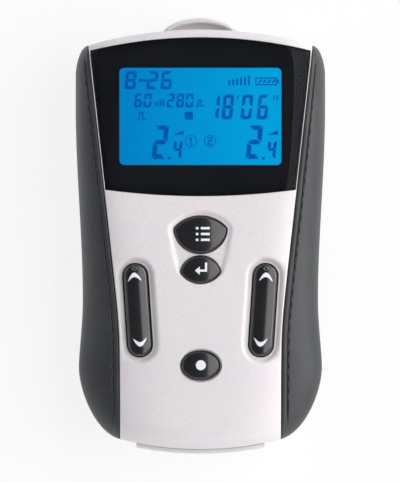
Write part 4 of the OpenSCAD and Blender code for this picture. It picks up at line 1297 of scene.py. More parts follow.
@dataclass
class FrontPanel:
    """The pale front panel: the visible face of the front shell, with its end walls. Sizes in mm."""

    thickness: float = 1.3
    step: float = 0.8

    def build(self) -> Surface:
        """The face over (x, station), triangulated round its openings, with both end walls, as a shell."""
        s = end_spaced(self.step, 6.0)
        half = np.minimum(FORM.panel_at(s), FORM.half_width(s) - 0.02)
        side = np.stack([half, s], 1)
        foot, top = (end_columns(half[k])[1:-1] for k in (0, -1))
        foot = np.stack([foot, np.full(len(foot), FORM.foot)], 1)
        top = np.stack([top[::-1], np.full(len(top), FORM.top)], 1)
        outer = np.concatenate([foot, side, top, side[::-1] * (-1, 1)])
        holes = [to_stations(loop) for loop in [*FACE.openings(), resample(FACE.window, 0.7)]]
        grid = grid_points(np.arange(-31, 31.01, self.step), s[1:-1])
        rings = (0.04, 0.1, 0.17, 0.24, 0.42, 0.62, 0.85, 1.1, 1.4, 1.75, 2.15)
        free = free_points(outer, holes, grid, rings, (0.06, 0.14, 0.22, 0.34))
        verts, tris = fill_region(outer, holes, free)
        points = FORM.lifted(verts, drop=FACE.drop)
        out = Surface().add(points, tris)
        for s_end in (FORM.foot, FORM.top):
            out.join(end_face(at_end(points, verts, s_end), s_end, FORM.part + SEAM, s_end > 0))
        return out.thickened(inwards=self.inner)

    def inner(self, points: Array) -> Array:
        """Inner points: straight under the face by the thickness, and as far behind the end faces."""
        x, s, y = FORM.held_in(points, self.thickness)
        face = FORM.front_height(x, s) - FACE.drop(np.stack([x, y], 1)) - self.thickness
        return np.stack([x, y, np.minimum(points[:, 2], np.maximum(face, FORM.part + SEAM))], 1)


@dataclass
class SideGrip:
    """The skin of one flank, from the front panel's edge round to the back panel. Sizes in mm."""

    thickness: float = 2.0
    edge_round: float = 0.35
    groove_at: float = 1.55
    groove_w: float = 0.26
    groove_depth: float = 0.42
    bead_height: float = 0.1
    step: float = 0.7
    across: int = 110
    close: float = 3.2
    tail: float = 0.8
    stitch_pitch: float = 3.3
    stitch_len: float = 2.35
    stitch_r: float = 0.34
    stitch_sink: float = 0.24

    def flank(self) -> tuple[Array, Array, Array, Array, Array]:
        """The plain flank over (station, angle).

        A station's section turns from the panel's edge in front, x = w cos(a)^(2/p), z = part + rise sin(a),
        to the back panel with a below 0, x = w cos(a)^(1/2), z = part + fall sin(a). Points are spread by
        length along it, closest over its first `close` mm, with the edge and the groove, and its last
        `tail` mm.

        Returns:
            stations, x and z over (station, place along the section), the places, and the sections' lengths.
        """
        s = end_spaced(self.step, 9.0)
        fine = np.linspace(0, 1, 500)
        w, rise, fall, p = FORM.half_width(s), FORM.rise(s), FORM.fall(s), FORM.power(s)
        from_x = np.minimum(FORM.panel_at(s) + FORM.grip_gap, w - 0.35)
        a_front = np.arccos(np.clip((from_x / w) ** (p / 2), -1, 1))
        # the gap to the back panel is a length along the section: d(length) / da there
        a_shell = np.arccos(np.clip((FORM.back_half(s) / w) ** 2, 0, 1))
        slope = np.hypot(w * np.sin(a_shell) / (2 * np.sqrt(np.cos(a_shell))), fall * np.cos(a_shell))
        a_back = -np.maximum(0, a_shell - FORM.grip_gap / slope)
        a = lerp(a_front[:, None], a_back[:, None], fine[None])
        front = a >= 0
        power = np.where(front, 2 / p[:, None], 0.5)
        x = w[:, None] * np.cos(a) ** power
        z = FORM.part + np.where(front, rise[:, None], fall[:, None]) * np.sin(a)
        z = np.maximum(z, 0.0)
        length = np.concatenate([np.zeros((len(s), 1)),
                                 np.cumsum(np.hypot(np.diff(x, axis=1), np.diff(z, axis=1)), 1)], 1)
        total = length[:, -1:]
        close = self.close * np.minimum(1, total / 12)
        first = np.linspace(0, 1, 44)[None] * close
        plain = lerp(close, total - self.tail, np.linspace(0, 1, self.across - 56)[1:] ** 1.15)
        last = total - self.tail * (1 - np.linspace(0, 1, 10)[1:])[None]
        wanted = np.concatenate([first, plain, last], 1)
        xs = np.stack([np.interp(row, cut, line) for row, cut, line in zip(wanted, length, x)])
        zs = np.stack([np.interp(row, cut, line) for row, cut, line in zip(wanted, length, z)])
        return s, xs, zs, wanted, total

    def build(self) -> Surface:
        """The flank, pushed along its normals by the bead, the groove and the round edges."""
        s, xs, zs, wanted, total = self.flank()
        ys = s[:, None] + FORM.bow(s)[:, None] * xs * xs
        points = np.stack([xs, ys, zs], -1)
        normal = grid_normals(points)
        normal *= np.sign(normal[:, self.across // 2, 0]).mean()
        points = points + normal * self.relief(wanted, total, s)[..., None]
        points[..., 2] = np.maximum(points[..., 2], 0.0)
        return grid_surface(points).thickened(self.thickness)

    def stitches(self) -> Surface:
        """Moulded stitches that fill the groove but for a dark gap between each two: round-ended beads.

        A bead is r(t) = radius sqrt(1 - |t|^3) round the groove's line, from t = -1 to 1 over its length.
        """
        s, xs, zs, wanted, total = self.flank()
        at = self.groove_at * np.minimum(1, total[:, 0] / 14)
        x, z = (np.array([np.interp(a, row, line) for a, row, line in zip(at, wanted, lines)])
                for lines in (xs, zs))
        path = np.stack([x, s + FORM.bow(s) * x ** 2, z - self.stitch_sink], 1)
        path = path[(s > FORM.foot + 7) & (s < FORM.top - 5)]
        run = np.concatenate([[0], np.cumsum(np.linalg.norm(np.diff(path, axis=0), axis=1))])
        places = np.arange(self.stitch_pitch, run[-1], self.stitch_pitch)
        t = np.array([-1, -0.8, -0.4, 0.4, 0.8, 1.0])
        around = polar(6)
        out = Surface()
        for place in places.tolist():
            at = place + t * self.stitch_len / 2
            axis = np.stack([np.interp(at, run, path[:, k]) for k in range(3)], 1)
            way = (axis[-1] - axis[0]) / np.linalg.norm(axis[-1] - axis[0])
            side = np.cross(way, (0, 0, 1.0))
            side /= np.linalg.norm(side)
            ring = np.cos(around)[:, None] * side + np.sin(around)[:, None] * np.cross(side, way)
            r = self.stitch_r * np.sqrt(np.maximum(0, 1 - np.abs(t) ** 3))
            out.join(grid_surface(axis[:, None] + r[:, None, None] * ring[None], wrap=True, flip=True))
        return out

    def relief(self, d: Array, total: Array, s: Array) -> Array:
        """Height over the plain flank at distance d from the panel's edge.

        A low bead, sin over its width, lies between the edge and the groove. The groove is a bell curve.
        Both run out towards the ends, and the long edges are quarter rounds.
        """
        end = smooth((s - (FORM.foot + 2)) / 6) * smooth((FORM.top - 2.5 - s) / 4)
        at = self.groove_at * np.minimum(1, total / 14)
        bead = self.bead_height * np.sin(math.pi * np.clip(d / at, 0, 1)) ** 2
        groove = -self.groove_depth * np.exp(-((d - at) / self.groove_w) ** 2)
        edges = rounding(d, self.edge_round, self.edge_round) + rounding(total - d, 0.3, 0.3)
        return (bead + groove) * end[:, None] - edges


@dataclass
class Window:
    """The window pane, the black print under it and what shows of the display. Sizes in mm."""

    pane_thickness: float = 1.45
    mask_depth: float = 1.52
    rim_depth: float = 0.3
    pane_edge: float = 0.2
    view_w: float = 43.2
    view_h: float = 25.9
    view_y: float = 33.5
    corner: float = 1.25

    def sheet(self, outer: Array, holes: Sequence[Array], depth: float, step: float,
              edge: Sequence[float], drop: Optional[Callable[[Array], Array]] = None) -> Surface:
        """A sheet that follows the front face at a depth, over a plan outline."""
        loops = [to_stations(loop) for loop in (outer, *holes)]
        spans = zip(loops[0].min(0), loops[0].max(0))
        grid = grid_points(*(np.arange(low, high, step) for low, high in spans))
        free = free_points(loops[0], loops[1:], grid, (), edge)
        verts, tris = fill_region(loops[0], loops[1:], free)
        return Surface().add(FORM.lifted(verts, drop=drop) - (0, 0, depth), tris)

    def pane(self) -> Surface:
        """The clear pane, with a rounded top edge."""
        outline = resample(FACE.window_outline(0.12), 0.6)
        drop = lambda plan: rounding(outline_distance(plan, outline), self.pane_edge, self.pane_edge)
        rings = tuple(self.pane_edge * np.array([0.15, 0.4, 0.7, 1.0]))
        return self.sheet(outline, [], 0.06, 1.3, rings, drop).thickened(self.pane_thickness)

    def view_outline(self, inset: float = 0.0) -> Array:
        """The display's opening in the print: a rectangle with round corners."""
        w, h = self.view_w - 2 * inset, self.view_h - 2 * inset
        return resample(rounded_box(w, h, self.corner - inset), 0.8) + (0, self.view_y)

    def print_layer(self) -> Surface:
        """The black print: a sheet with the display's opening in it, and a rim that stands round the pane."""
        outline = resample(FACE.window_outline(0.04), 0.9)
        out = self.sheet(outline, [self.view_outline()], self.mask_depth, 1.6, ())
        rim = FORM.lifted(to_stations(outline))
        depths = np.array([self.rim_depth, (self.rim_depth + self.mask_depth) / 2, self.mask_depth])
        rows = rim[None] - depths[:, None, None] * (0, 0, 1)
        return out.join(grid_surface(rows, wrap=True)).welded().thickened(0.03)


def rounded_box(w: float, h: float, corner: float, count: int = 7) -> Array:
    """Rectangle outline with round corners, about the origin, anticlockwise."""
    a = np.linspace(0, math.pi / 2, count)
    arc = corner * np.stack([np.cos(a), np.sin(a)], 1)
    quarter = np.array([[0, 1], [-1, 0]])
    x, y = w / 2 - corner, h / 2 - corner
    return np.concatenate([arc @ np.linalg.matrix_power(quarter, k) + middle
                           for k, middle in enumerate(((x, y), (-x, y), (-x, -y), (x, -y)))])


@dataclass
class KeyCap:
    """A crowned key: its outline, how high it stands and how it is rounded. Sizes in mm."""

    outline: Array
    centre: Array
    top: float
    crown: float
    edge: float = 0.55
    depth: float = 3.4
    pitch: float = 0.0
    cylinder: bool = False
    end_fall: float = 0.0

    def crown_z(self, plan: Array, axis: Array) -> Array:
        """Height of the crown: top less R - sqrt(R^2 - d^2), with d from the middle or the axis."""
        rel = plan - self.centre
        along = rel @ axis
        across = rel @ np.array([axis[1], -axis[0]])
        d2 = across ** 2 if self.cylinder else (rel ** 2).sum(1)
        z = self.top - (self.crown - np.sqrt(np.maximum(0, self.crown ** 2 - d2)))
        return z + np.tan(math.radians(self.pitch)) * along - self.end_fall * np.abs(along / 12) ** 4

    def build(self, axis: Array = np.array([0.0, 1.0]), spine: float = 0.0) -> Surface:
        """Rings from a short wall over the rounded edge to the middle.

        The edge is a quarter round: inset e(1 - cos a) goes with fall e(1 - sin a). Inside it the rings
        shrink towards the spine, a stretch of the axis, or towards the middle where it has no length.

        Args:
            axis: the direction of the piece's length in the plan.
            spine: half length of the stretch the rings shrink to.

        Returns:
            the closed surface.
        """
        loop = anticlockwise(self.outline)
        normal = outward(loop)
        a = np.linspace(0, math.pi / 2, 7)
        insets = self.edge * (1 - np.cos(a))
        falls = self.edge * (1 - np.sin(a))
        flat = loop - normal * insets[-1]
        ridge = np.clip((flat - self.centre) @ axis, -spine, spine)[:, None] * axis + self.centre
        steps = [(loop, self.edge + self.depth)]
        steps += [(loop - normal * inset, fall) for inset, fall in zip(insets, falls)]
        steps += [(lerp(flat, ridge, t), 0.0) for t in np.linspace(0, 1, 12)[1:]]
        rings = [np.hstack([ring, self.crown_z(ring, axis)[:, None] - fall]) for ring, fall in steps]
        out = grid_surface(np.array(rings), wrap=True)
        plan, tris = fill_region(loop)
        bottom = self.crown_z(plan, axis) - self.edge - self.depth
        return out.add(np.hstack([plan, bottom[:, None]]), tris[:, ::-1]).welded()


@dataclass
class Keypad:
    """Works out the caps of the three keys and the two rockers, which stand this far proud of the face."""

    proud: float = 0.75

    def key(self, outline: Array, y: float, crown: float, edge: float = 0.55) -> KeyCap:
        """A push key with its crown highest at y on the middle line."""
        z = float(FORM.front_z(np.array(0.0), np.array(y))) + self.proud
        return KeyCap(outline, np.array([0, y]), z, crown, edge=edge)

    def rocker(self, side: int) -> tuple[KeyCap, Array]:
        """One rocker and its axis in the plan, leaning outwards at its top end."""
        lean = math.radians(side * FACE.lean)
        axis = np.array([math.sin(lean), math.cos(lean)])
        centre = np.array([side * FACE.rocker_x, FACE.rocker_y])
        low, z, high = FORM.front_z(np.array(FACE.rocker_x), FACE.rocker_y + np.array([-9, 0, 9]))
        pitch = math.degrees(math.atan((high - low) / 18))
        cap = KeyCap(FACE.rockers[0 if side < 0 else 1], centre, float(z) + self.proud, 7.0, edge=0.7,
                     pitch=pitch, cylinder=True, end_fall=0.25)
        return cap, axis


class Printer:
    """Puts flat marks on what carries them, each placed by rays through the picture."""

    def __init__(self, camera: PictureCamera, lift: float = 0.015, thickness: float = 0.04) -> None:
        """Keeps the camera, how far the marks stand over their carrier and how thick they are, in mm."""
        self.camera, self.lift, self.thickness = camera, lift, thickness

    def mark(self, loops: Sequence[Array], point: str, tree: BVHTree, grid: float = 0.32,
             holes: Sequence[Array] = ()) -> Surface:
        """Marks from outlines in mm about an image point, each of their points set down along its own ray.

        Args:
            loops: outer outlines, each a mark.
            point: the image point's name.
            tree: the carrier.
            grid: distance of inner points in mm, so that a mark follows a crowned carrier.
            holes: openings of the first mark.

        Returns:
            the closed marks.
        """
        out = Surface()
        middle = np.array(IMAGE_POINTS[point][2:])
        for k, loop in enumerate(loops):
            loop = resample(anticlockwise(loop), grid)
            inner = [resample(anticlockwise(h), grid) for h in holes] if k == 0 else []
            spans = zip(loop.min(0), loop.max(0))
            free = grid_points(*(np.arange(low + grid / 2, high, grid) for low, high in spans))
            for edge in (loop, *inner):
                free = free[outline_distance(free, edge) > 0.35 * grid]
            verts, tris = fill_region(loop, inner, free[in_region(free, loop, inner)])
            pixels = middle + verts * (1, -1) / self.camera.mm_per_px
            places, normals = self.camera.hits(pixels, tree)
            out.join(Surface().add(places + normals * (self.lift + self.thickness), tris)
                     .thickened(self.thickness))
        return out


def bar(x0: float, y0: float, x1: float, y1: float, w: float) -> Array:
    """A straight stroke of width w between two points."""
    d = np.array([x1 - x0, y1 - y0])
    n = np.array([-d[1], d[0]]) / max(1e-9, np.hypot(*d)) * w / 2
    a, b = np.array([x0, y0]), np.array([x1, y1])
    return np.array([a + n, a - n, b - n, b + n])


def ring_loops(cx: float, cy: float, r: float, w: float, count: int = 28) -> tuple[Array, Array]:
    """Outer and inner outline of a thin ring."""
    unit = oval(1.0, 1.0, count)
    return (cx, cy) + unit * (r + w / 2), (cx, cy) + unit * (r - w / 2)


def crescent(cx: float, cy: float, half: float, rise: float, thick: float, up: int, lean: float) -> Array:
    """A crescent arrowhead, pointing up or down.

    Its outer edge is a bell from tip to tip that rises by rise, the inner edge the same less thick at the
    middle.
    """
    t = np.linspace(-1, 1, 15)
    outer = np.stack([half * t, up * rise * (1 - np.abs(t) ** 1.9)], 1)
    inner = np.stack([half * t[1:-1] * 0.9, up * ((rise - thick) * (1 - np.abs(t[1:-1]) ** 1.7))], 1)
    loop = np.concatenate([outer, inner[::-1]])
    c, s = math.cos(lean), math.sin(lean)
    return loop @ np.array([[c, -s], [s, c]]) + (cx, cy)


# ---------------------------------------------------------------- display marks


SEGMENTS: dict[str, str] = {
    "0": "abcdef", "1": "bc", "2": "abged", "3": "abgcd", "4": "fgbc", "5": "afgcd", "6": "afgedc",
    "7": "abc", "8": "abcdefg", "9": "abcdfg", "-": "g",
}


@dataclass
class DisplayMarks:
    """What the display shows: seven-segment numbers and small icons, in mm from the display's middle."""

    slant: float = 0.1
    line: float = 0.32

    def segments(self, digit: str, x: float, y: float, w: float, h: float, t: float) -> list[Array]:
        """The lit segments of a digit in a box, each a bar with pointed ends, all leaning to the right.

        Args:
            digit: one of SEGMENTS.
            x: left side.
            y: top.
            w: width.
            h: height.
            t: width of a segment.

        Returns:
            outlines. They are laid out with heights counted down from the top, and turned up at the end.
        """
        gap = 0.15 * t
        mid = h / 2

        def flat(y0: float, down: float) -> Array:
            """A level segment from its outer side at y0."""
            a, b = gap + t * 0.15, w - gap - t * 0.15
            return np.array([[a, y0], [b, y0], [b - t * 0.75, y0 + down], [a + t * 0.75, y0 + down]])

        def wing(x0: float, y0: float, y1: float, inner: float) -> Array:
            """An upright segment from its outer side at x0."""
            return np.array([[x0, y0 + gap], [x0, y1 - gap], [x0 + inner, y1 - gap - t * 0.7],
                             [x0 + inner, y0 + gap + t * 0.7]])

        point = gap + t * 0.6
        shapes = {
            "a": flat(0, t), "d": flat(h, -t),
            "g": np.array([[point, mid - t / 2], [w - point, mid - t / 2], [w - gap, mid],
                           [w - point, mid + t / 2], [point, mid + t / 2], [gap, mid]]),
            "f": wing(0, 0, mid, t), "e": wing(0, mid, h, t),
            "b": wing(w, 0, mid, -t), "c": wing(w, mid, h, -t),
        }
        lit = [shapes[name] for name in SEGMENTS[digit]]
        return [(x, y) + (loop + self.slant * (mid - loop[:, 1:]) * (1, 0)) * (1, -1) for loop in lit]

    def number(self, text: str, xs: Sequence[float], y: float, w: float, h: float, t: float) -> list[Array]:
        """Digits at the given left sides."""
        return [loop for digit, x in zip(text, xs) for loop in self.segments(digit, x, y, w, h, t)]

    def path(self, *points: tuple[float, float]) -> list[Array]:
        """A thin line through points, each stretch a stroke that overlaps the next at their corner."""
        ends = np.array(points)
        step = np.diff(ends, axis=0)
        step *= self.line / 2 / np.linalg.norm(step, axis=1)[:, None]
        return [bar(*a, *b, self.line) for a, b in zip(ends[:-1] - step, ends[1:] + step)]

    def ticks(self, x: float, y: float, pitch: float, height: float, count: int, w: float) -> list[Array]:
        """A row of upright strokes of growing height."""
        return [bar(x + pitch * k, y, x + pitch * k, y + height * (0.55 + 0.45 * k / (count - 1)), w)
                for k in range(count)]

    def all(self) -> tuple[list[Array], list[tuple[Array, Array]]]:
        """All solid marks, and the ringed ones as outer and inner outlines."""
        marks = self.number("8-26", (-20.2, -17.0, -14.4, -10.6), 12.1, 2.9, 4.85, 0.82)
        marks += self.number("60", (-17.7, -15.2), 6.15, 2.0, 3.75, 0.62)
        marks += self.number("280", (-9.05, -6.5, -4.0), 6.15, 2.0, 3.75, 0.62)
        marks += self.number("1806", (2.1, 5.8, 10.9, 15.2), 5.85, 2.85, 6.6, 0.88)
        for x in (-12.75, 12.4):
            marks += self.number("2", (x,), -2.4, 3.8, 8.9, 1.25)
            marks += self.number("4", (x + 5.4,), -6.35, 2.3, 4.95, 0.8)
            marks.append(oval(0.42, 0.42, 14) + (x + 4.3, -11.15))
            # the level's unit: a small wedge where the photograph has letters
            marks.append(np.array([[x + 5.2, -4.9], [x + 8.2, -4.9], [x + 8.2, -3.7]]))
        # minute and second ticks
        marks += [bar(x, 5.7, x - 0.32, 4.4, 0.34) for x in (10.05, 19.7, 20.6)]
        # the mode square, and the pulse under the first number
        marks.append(rounded_box(2.2, 2.05, 0.08, 2) + (-3.2, 0.2))
        marks += self.path((-17.1, -0.75), (-16.4, -0.75), (-16.4, 1.1), (-15.5, 1.1), (-15.5, -0.75),
                           (-14.8, -0.75))
        # units of the two numbers: strokes and a square pulse
        marks += self.ticks(-12.2, 2.7, 0.72, 2.0, 4, 0.38)
        marks += self.path((-1.2, 2.8), (-0.7, 2.8), (-0.7, 4.3), (0.1, 4.3), (0.1, 2.8), (0.8, 2.8))
        # time left: strokes where the photograph has a word, and the battery with its charge
        marks += self.ticks(7.6, 8.35, 1.05, 2.5, 6, 0.5)
        marks += self.path((14.7, 8.5), (20.2, 8.5), (20.2, 10.3), (14.7, 10.3), (14.7, 8.5))
        marks += [bar(20.65, 9.0, 20.65, 9.8, 0.4)]
        marks += [bar(15.5 + 1.2 * k, 8.95, 16.2 + 1.2 * k, 9.85, 0.45) for k in range(4)]
        # the two channels' plain numbers, in their rings
        marks += self.path((-2.95, -6.95), (-2.6, -5.9), (-2.6, -7.5))[1:]
        marks += self.path((-3.0, -6.2), (-2.6, -5.75))
        marks += self.path((2.0, -5.75), (2.9, -5.75), (2.9, -6.55), (2.0, -6.55), (2.0, -7.4), (2.95, -7.4))
        rings = [ring_loops(x, -6.55, 1.5, 0.2) for x in (-2.65, 2.45)]
        return marks, rings


# ---------------------------------------------------------------- back: shell, door and clip


@dataclass
class RearShell:
    """The pale back: its skin with the screw wells, and the battery bay inside it. Sizes in mm."""

    thickness: float = 1.3
    step: float = 0.9
    door_hw: float = 17.5
    door_y: float = 1.5
    door_t: float = 2.2
    well_r: float = 2.1
    seat_z: float = 11.3
    wells: tuple = ((22.2, 12.6), (21.5, -42.0))
    bay_hw: float = 16.6
    bay_y0: float = -51.0
    bay_y1: float = 1.1
    bay_top: float = 12.9

    def well_places(self) -> list[tuple[float, float]]:
        """X and Y of the four screw wells."""
        return [(sign * x, y) for x, y in self.wells for sign in (-1, 1)]

    def build(self) -> Surface:
        """The skin over (x, station), notched for the door and holed for the screws, with its end faces."""
        s = end_spaced(self.step, 9.0)
        # closer stations where the back steps down from the bulge
        s = np.unique(np.concatenate([s, np.linspace(1.5, 11, 24)]))
        half = FORM.back_half(s)
        side = np.stack([half, s], 1)
        notch_x = np.linspace(-self.door_hw, self.door_hw, 41)
        notch = to_stations(np.stack([notch_x, np.full(41, self.door_y)], 1))
        rise = np.linspace(FORM.foot, notch[-1, 1], 60)[1:-1][::-1]
        right_rise = np.stack([np.full(58, self.door_hw), rise], 1)
        foot_x = lerp(self.door_hw, half[0], np.sin(polar(16, 0, math.pi / 2, closed=False)))[:-1]
        foot_right = np.stack([foot_x, np.full(15, FORM.foot)], 1)
        right = np.concatenate([right_rise, foot_right, side])
        top = end_columns(half[-1])[1:-1][::-1]
        top = np.stack([top, np.full(len(top), FORM.top)], 1)
        left = right[::-1] * (-1, 1)
        start = len(side)
        outer = np.concatenate([left[start:], notch, right, top, left[:start]])
        holes = [to_stations(oval(self.well_r, self.well_r, 32) + place) for place in self.well_places()]
        grid = grid_points(np.arange(-25, 25.01, self.step), s[1:-1])
        rings = (0.08, 0.2, 0.4)
        verts, tris = fill_region(outer, holes, free_points(outer, holes, grid, rings, rings))
        points = FORM.lifted(verts, back=True, drop=lambda plan: -self.lip(plan))
        out = Surface().add(points, tris[:, ::-1])
        out.join(end_face(at_end(points, verts, FORM.top), FORM.top, FORM.part - SEAM, True))
        edge = at_end(points, verts, FORM.foot)
        sill = np.stack([notch_x, FORM.foot + FORM.bow(np.array(FORM.foot)) * notch_x ** 2,
                         np.full(41, self.door_t)], 1)
        edge = np.concatenate([edge[edge[:, 0] < 0], sill, edge[edge[:, 0] > 0]])
        out.join(end_face(edge, FORM.foot, FORM.part - SEAM, False))
        return out.thickened(inwards=self.inner).join(self.screw_wells())

    def inner(self, points: Array) -> Array:
        """Inner points: straight over the back by the thickness, and as far behind the end faces."""
        x, s, y = FORM.held_in(points, self.thickness)
        low = np.minimum(FORM.back_height(x, s) + self.thickness, FORM.part - SEAM)
        return np.stack([x, y, np.maximum(points[:, 2], low)], 1)

    def lip(self, plan: Array) -> Array:
        """Small quarter rounds at the wells and the long edges, as height over the plain back."""
        d = np.min([np.hypot(*(plan - place).T) for place in self.well_places()], axis=0) - self.well_r
        edge = FORM.back_half(FORM.station(*plan.T)) - np.abs(plan[:, 0])
        return rounding(d, 0.3, 0.25) + rounding(edge, 0.3, 0.25)

    def screw_wells(self) -> Surface:
        """The bores that the housing screws sit in: a tube and its seat, turned about each screw's axis."""
        out = Surface()
        r, wall = self.well_r, self.well_r + 0.9
        for x, y in self.well_places():
            base = float(FORM.back_height(np.array(x), FORM.station(np.array(x), np.array(y))))
            profile = np.array([[wall, base + 1.0], [r, base + 0.24], [r, self.seat_z], [1.2, self.seat_z],
                                [1.2, self.seat_z + 1.2], [wall, self.seat_z + 1.2], [wall, base + 1.0]])
            out.join(revolve(profile, 36, (x, y, 0.0), (0, 0, 1.0)))
        return out

    def bay(self) -> Surface:
        """The battery bay: a tray open towards the door, with round inner corners and two ribs between cells.

        Its wall is a rounded rectangle of the plan, 0.9 mm thick, swept from the door up to the roof.
        """
        middle = (self.bay_y0 + self.bay_y1) / 2
        length, sill, roof = self.bay_y1 - self.bay_y0, self.door_t + 0.1, self.bay_top + 1.1
        # how far each ring stands out, its corner's radius and its height
        levels = [(0.0, 1.0, sill), (0.0, 1.0, self.bay_top - 0.5), (-0.15, 0.9, self.bay_top - 0.15),
                  (-0.5, 0.8, self.bay_top), (0.9, 1.6, roof), (0.9, 1.6, sill)]
        rings = np.array([np.insert(rounded_box(2 * (self.bay_hw + grow), length + 2 * grow, corner)
                                    + (0, middle), 2, z, axis=1) for grow, corner, z in levels])
        out = grid_surface(rings[:4], wrap=True, flip=True)
        out.level(*fill_region(rings[3][:, :2]), self.bay_top, up=False)
        out.join(grid_surface(rings[4:], wrap=True, flip=True))
        out.level(*fill_region(rings[4][:, :2]), roof)
        out.join(grid_surface(rings[[5, 0]], wrap=True, flip=True))
        for x in (-5.4, 5.4):
            out.join(plate(rounded_box(0.5, 42.0, 0.2) + (x, middle), [], self.bay_top - 3.2,
                           self.bay_top + 0.3, 0.12, steps=2))
        return out.welded()


@dataclass
class OutputSockets:
    """The two round sockets at the top end, their mouths flush with its bowed face. Sizes in mm."""

    collar_r: float = 2.45
    bore_r: float = 1.25
    depth: float = 10.0

    def build(self) -> Surface:
        """A tube with a countersunk mouth and a floor, bowed with the end face: bow(top) (x^2 - X^2)."""
        r, b = self.collar_r, self.bore_r
        profile = np.array([[0, -self.depth - 1], [r, -self.depth - 1], [r, -0.15], [r - 0.15, 0],
                            [b + 0.3, 0], [b, -0.3], [b, -self.depth], [0, -self.depth]])
        out = Surface()
        bow = float(FORM.bow(np.array(FORM.top)))
        mouth = FORM.top + bow * SOCKET_X ** 2
        for side in (-1, 1):
            out.join(revolve(profile, 40, (side * SOCKET_X, mouth, FORM.part), (0, 1.0, 0)))
        out.points[:, 1] += bow * (out.points[:, 0] ** 2 - SOCKET_X ** 2)
        return out


@dataclass
class SlidingDoor:
    """The battery door: a plate with finger grooves, bent up at the foot into the lip. Sizes in mm."""

    half: float = 17.3
    inner_y: float = 1.3
    plate_t: float = 2.0
    lip_t: float = 1.1
    lip_top: float = 15.0
    end_out: float = 1.3
    bend: float = 9.4
    edge: float = 0.35
    groove_count: int = 7
    groove_y: float = -9.0
    groove_pitch: float = 2.2
    groove_half_w: float = 0.62
    groove_depth: float = 0.42
    groove_half_len: float = 8.1
    groove_taper: float = 0.7
    groove_run_out: float = 0.9

    def build(self) -> Surface:
        """The outer face over (x, length along the profile), with its inner face, edges and tongues.

        The profile runs along the back's form from the inner end to the foot, and up the lip. The outer
        face is the housing's back pushed out by the lip; the inner face lies deeper by the thickness,
        which goes from the plate's to the lip's.
        """
        s = np.arange(self.inner_y, -46.0, -0.22)
        s_round = FORM.foot + self.bend * (1 - np.sin(np.linspace(0, math.pi / 2, 26)[1:]))
        s = np.concatenate([s[s > FORM.foot + self.bend], s_round])
        span = FORM.top - FORM.foot
        place = FORM.foot - self.end_out + (s - FORM.foot) * (span + 2 * self.end_out) / span
        x = np.linspace(-self.half, self.half, 90)
        x = self.half * np.sign(x) * (1 - (1 - np.abs(x) / self.half) ** 1.25)
        xx, ss = np.meshgrid(x, s)
        back = np.stack([xx, place[:, None] + FORM.bow(ss) * xx * xx, FORM.back_height(xx, ss)], -1)
        lip = np.repeat(back[-1:], 14, axis=0)
        lip[..., 2] = lerp(lip[..., 2], self.lip_top, np.linspace(0, 1, 15)[1:, None])
        outer = np.concatenate([back, lip])
        normal = grid_normals(outer)
        normal *= -np.sign(normal[5, 45, 2])
        depth = lerp(self.lip_t, self.plate_t, smooth((outer[:, 45, 1] + 50.5) / 6.0))[:, None, None]
        to_edges = (self.half - np.abs(outer[..., 0]), self.lip_top - outer[..., 2],
                    self.inner_y - outer[..., 1])
        drawn_in = sum(rounding(d, self.edge, self.edge) for d in to_edges)
        face = outer - normal * drawn_in[..., None] - normal * self.grooves(outer)[..., None]
        inner = outer - normal * depth
        out = grid_surface(face, flip=True).join(grid_surface(inner))
        for k in (0, -1):
            out.join(grid_surface(np.stack([face[k], inner[k]]), flip=k == -1))
        for k in (0, -1):
            out.join(grid_surface(np.stack([face[:, k], inner[:, k]]), flip=k == 0))
        for side in (-1, 1):
            out.join(plate(rounded_box(1.9, 47.0, 0.4) + (side * (self.half - 0.1), -23.0), [], 0.95, 1.65,
                           0.12, steps=2))
        return out.welded()

    def grooves(self, points: Array) -> Array:
        """Depth of the finger grooves: a cosine across each, run out at its ends, shorter to the foot."""
        x, y = points[..., 0], points[..., 1]
        depth = np.zeros(x.shape)
        for k in range(self.groove_count):
            across = np.clip(np.abs(y - self.groove_y + self.groove_pitch * k) / self.groove_half_w, 0, 1)
            left = self.groove_half_len - self.groove_taper * k - np.abs(x)
            bell = self.groove_depth * (0.5 + 0.5 * np.cos(math.pi * across))
            depth = np.maximum(depth, bell * smooth(left / self.groove_run_out))
        return np.where(points[..., 2] < 1.0, depth, 0.0)


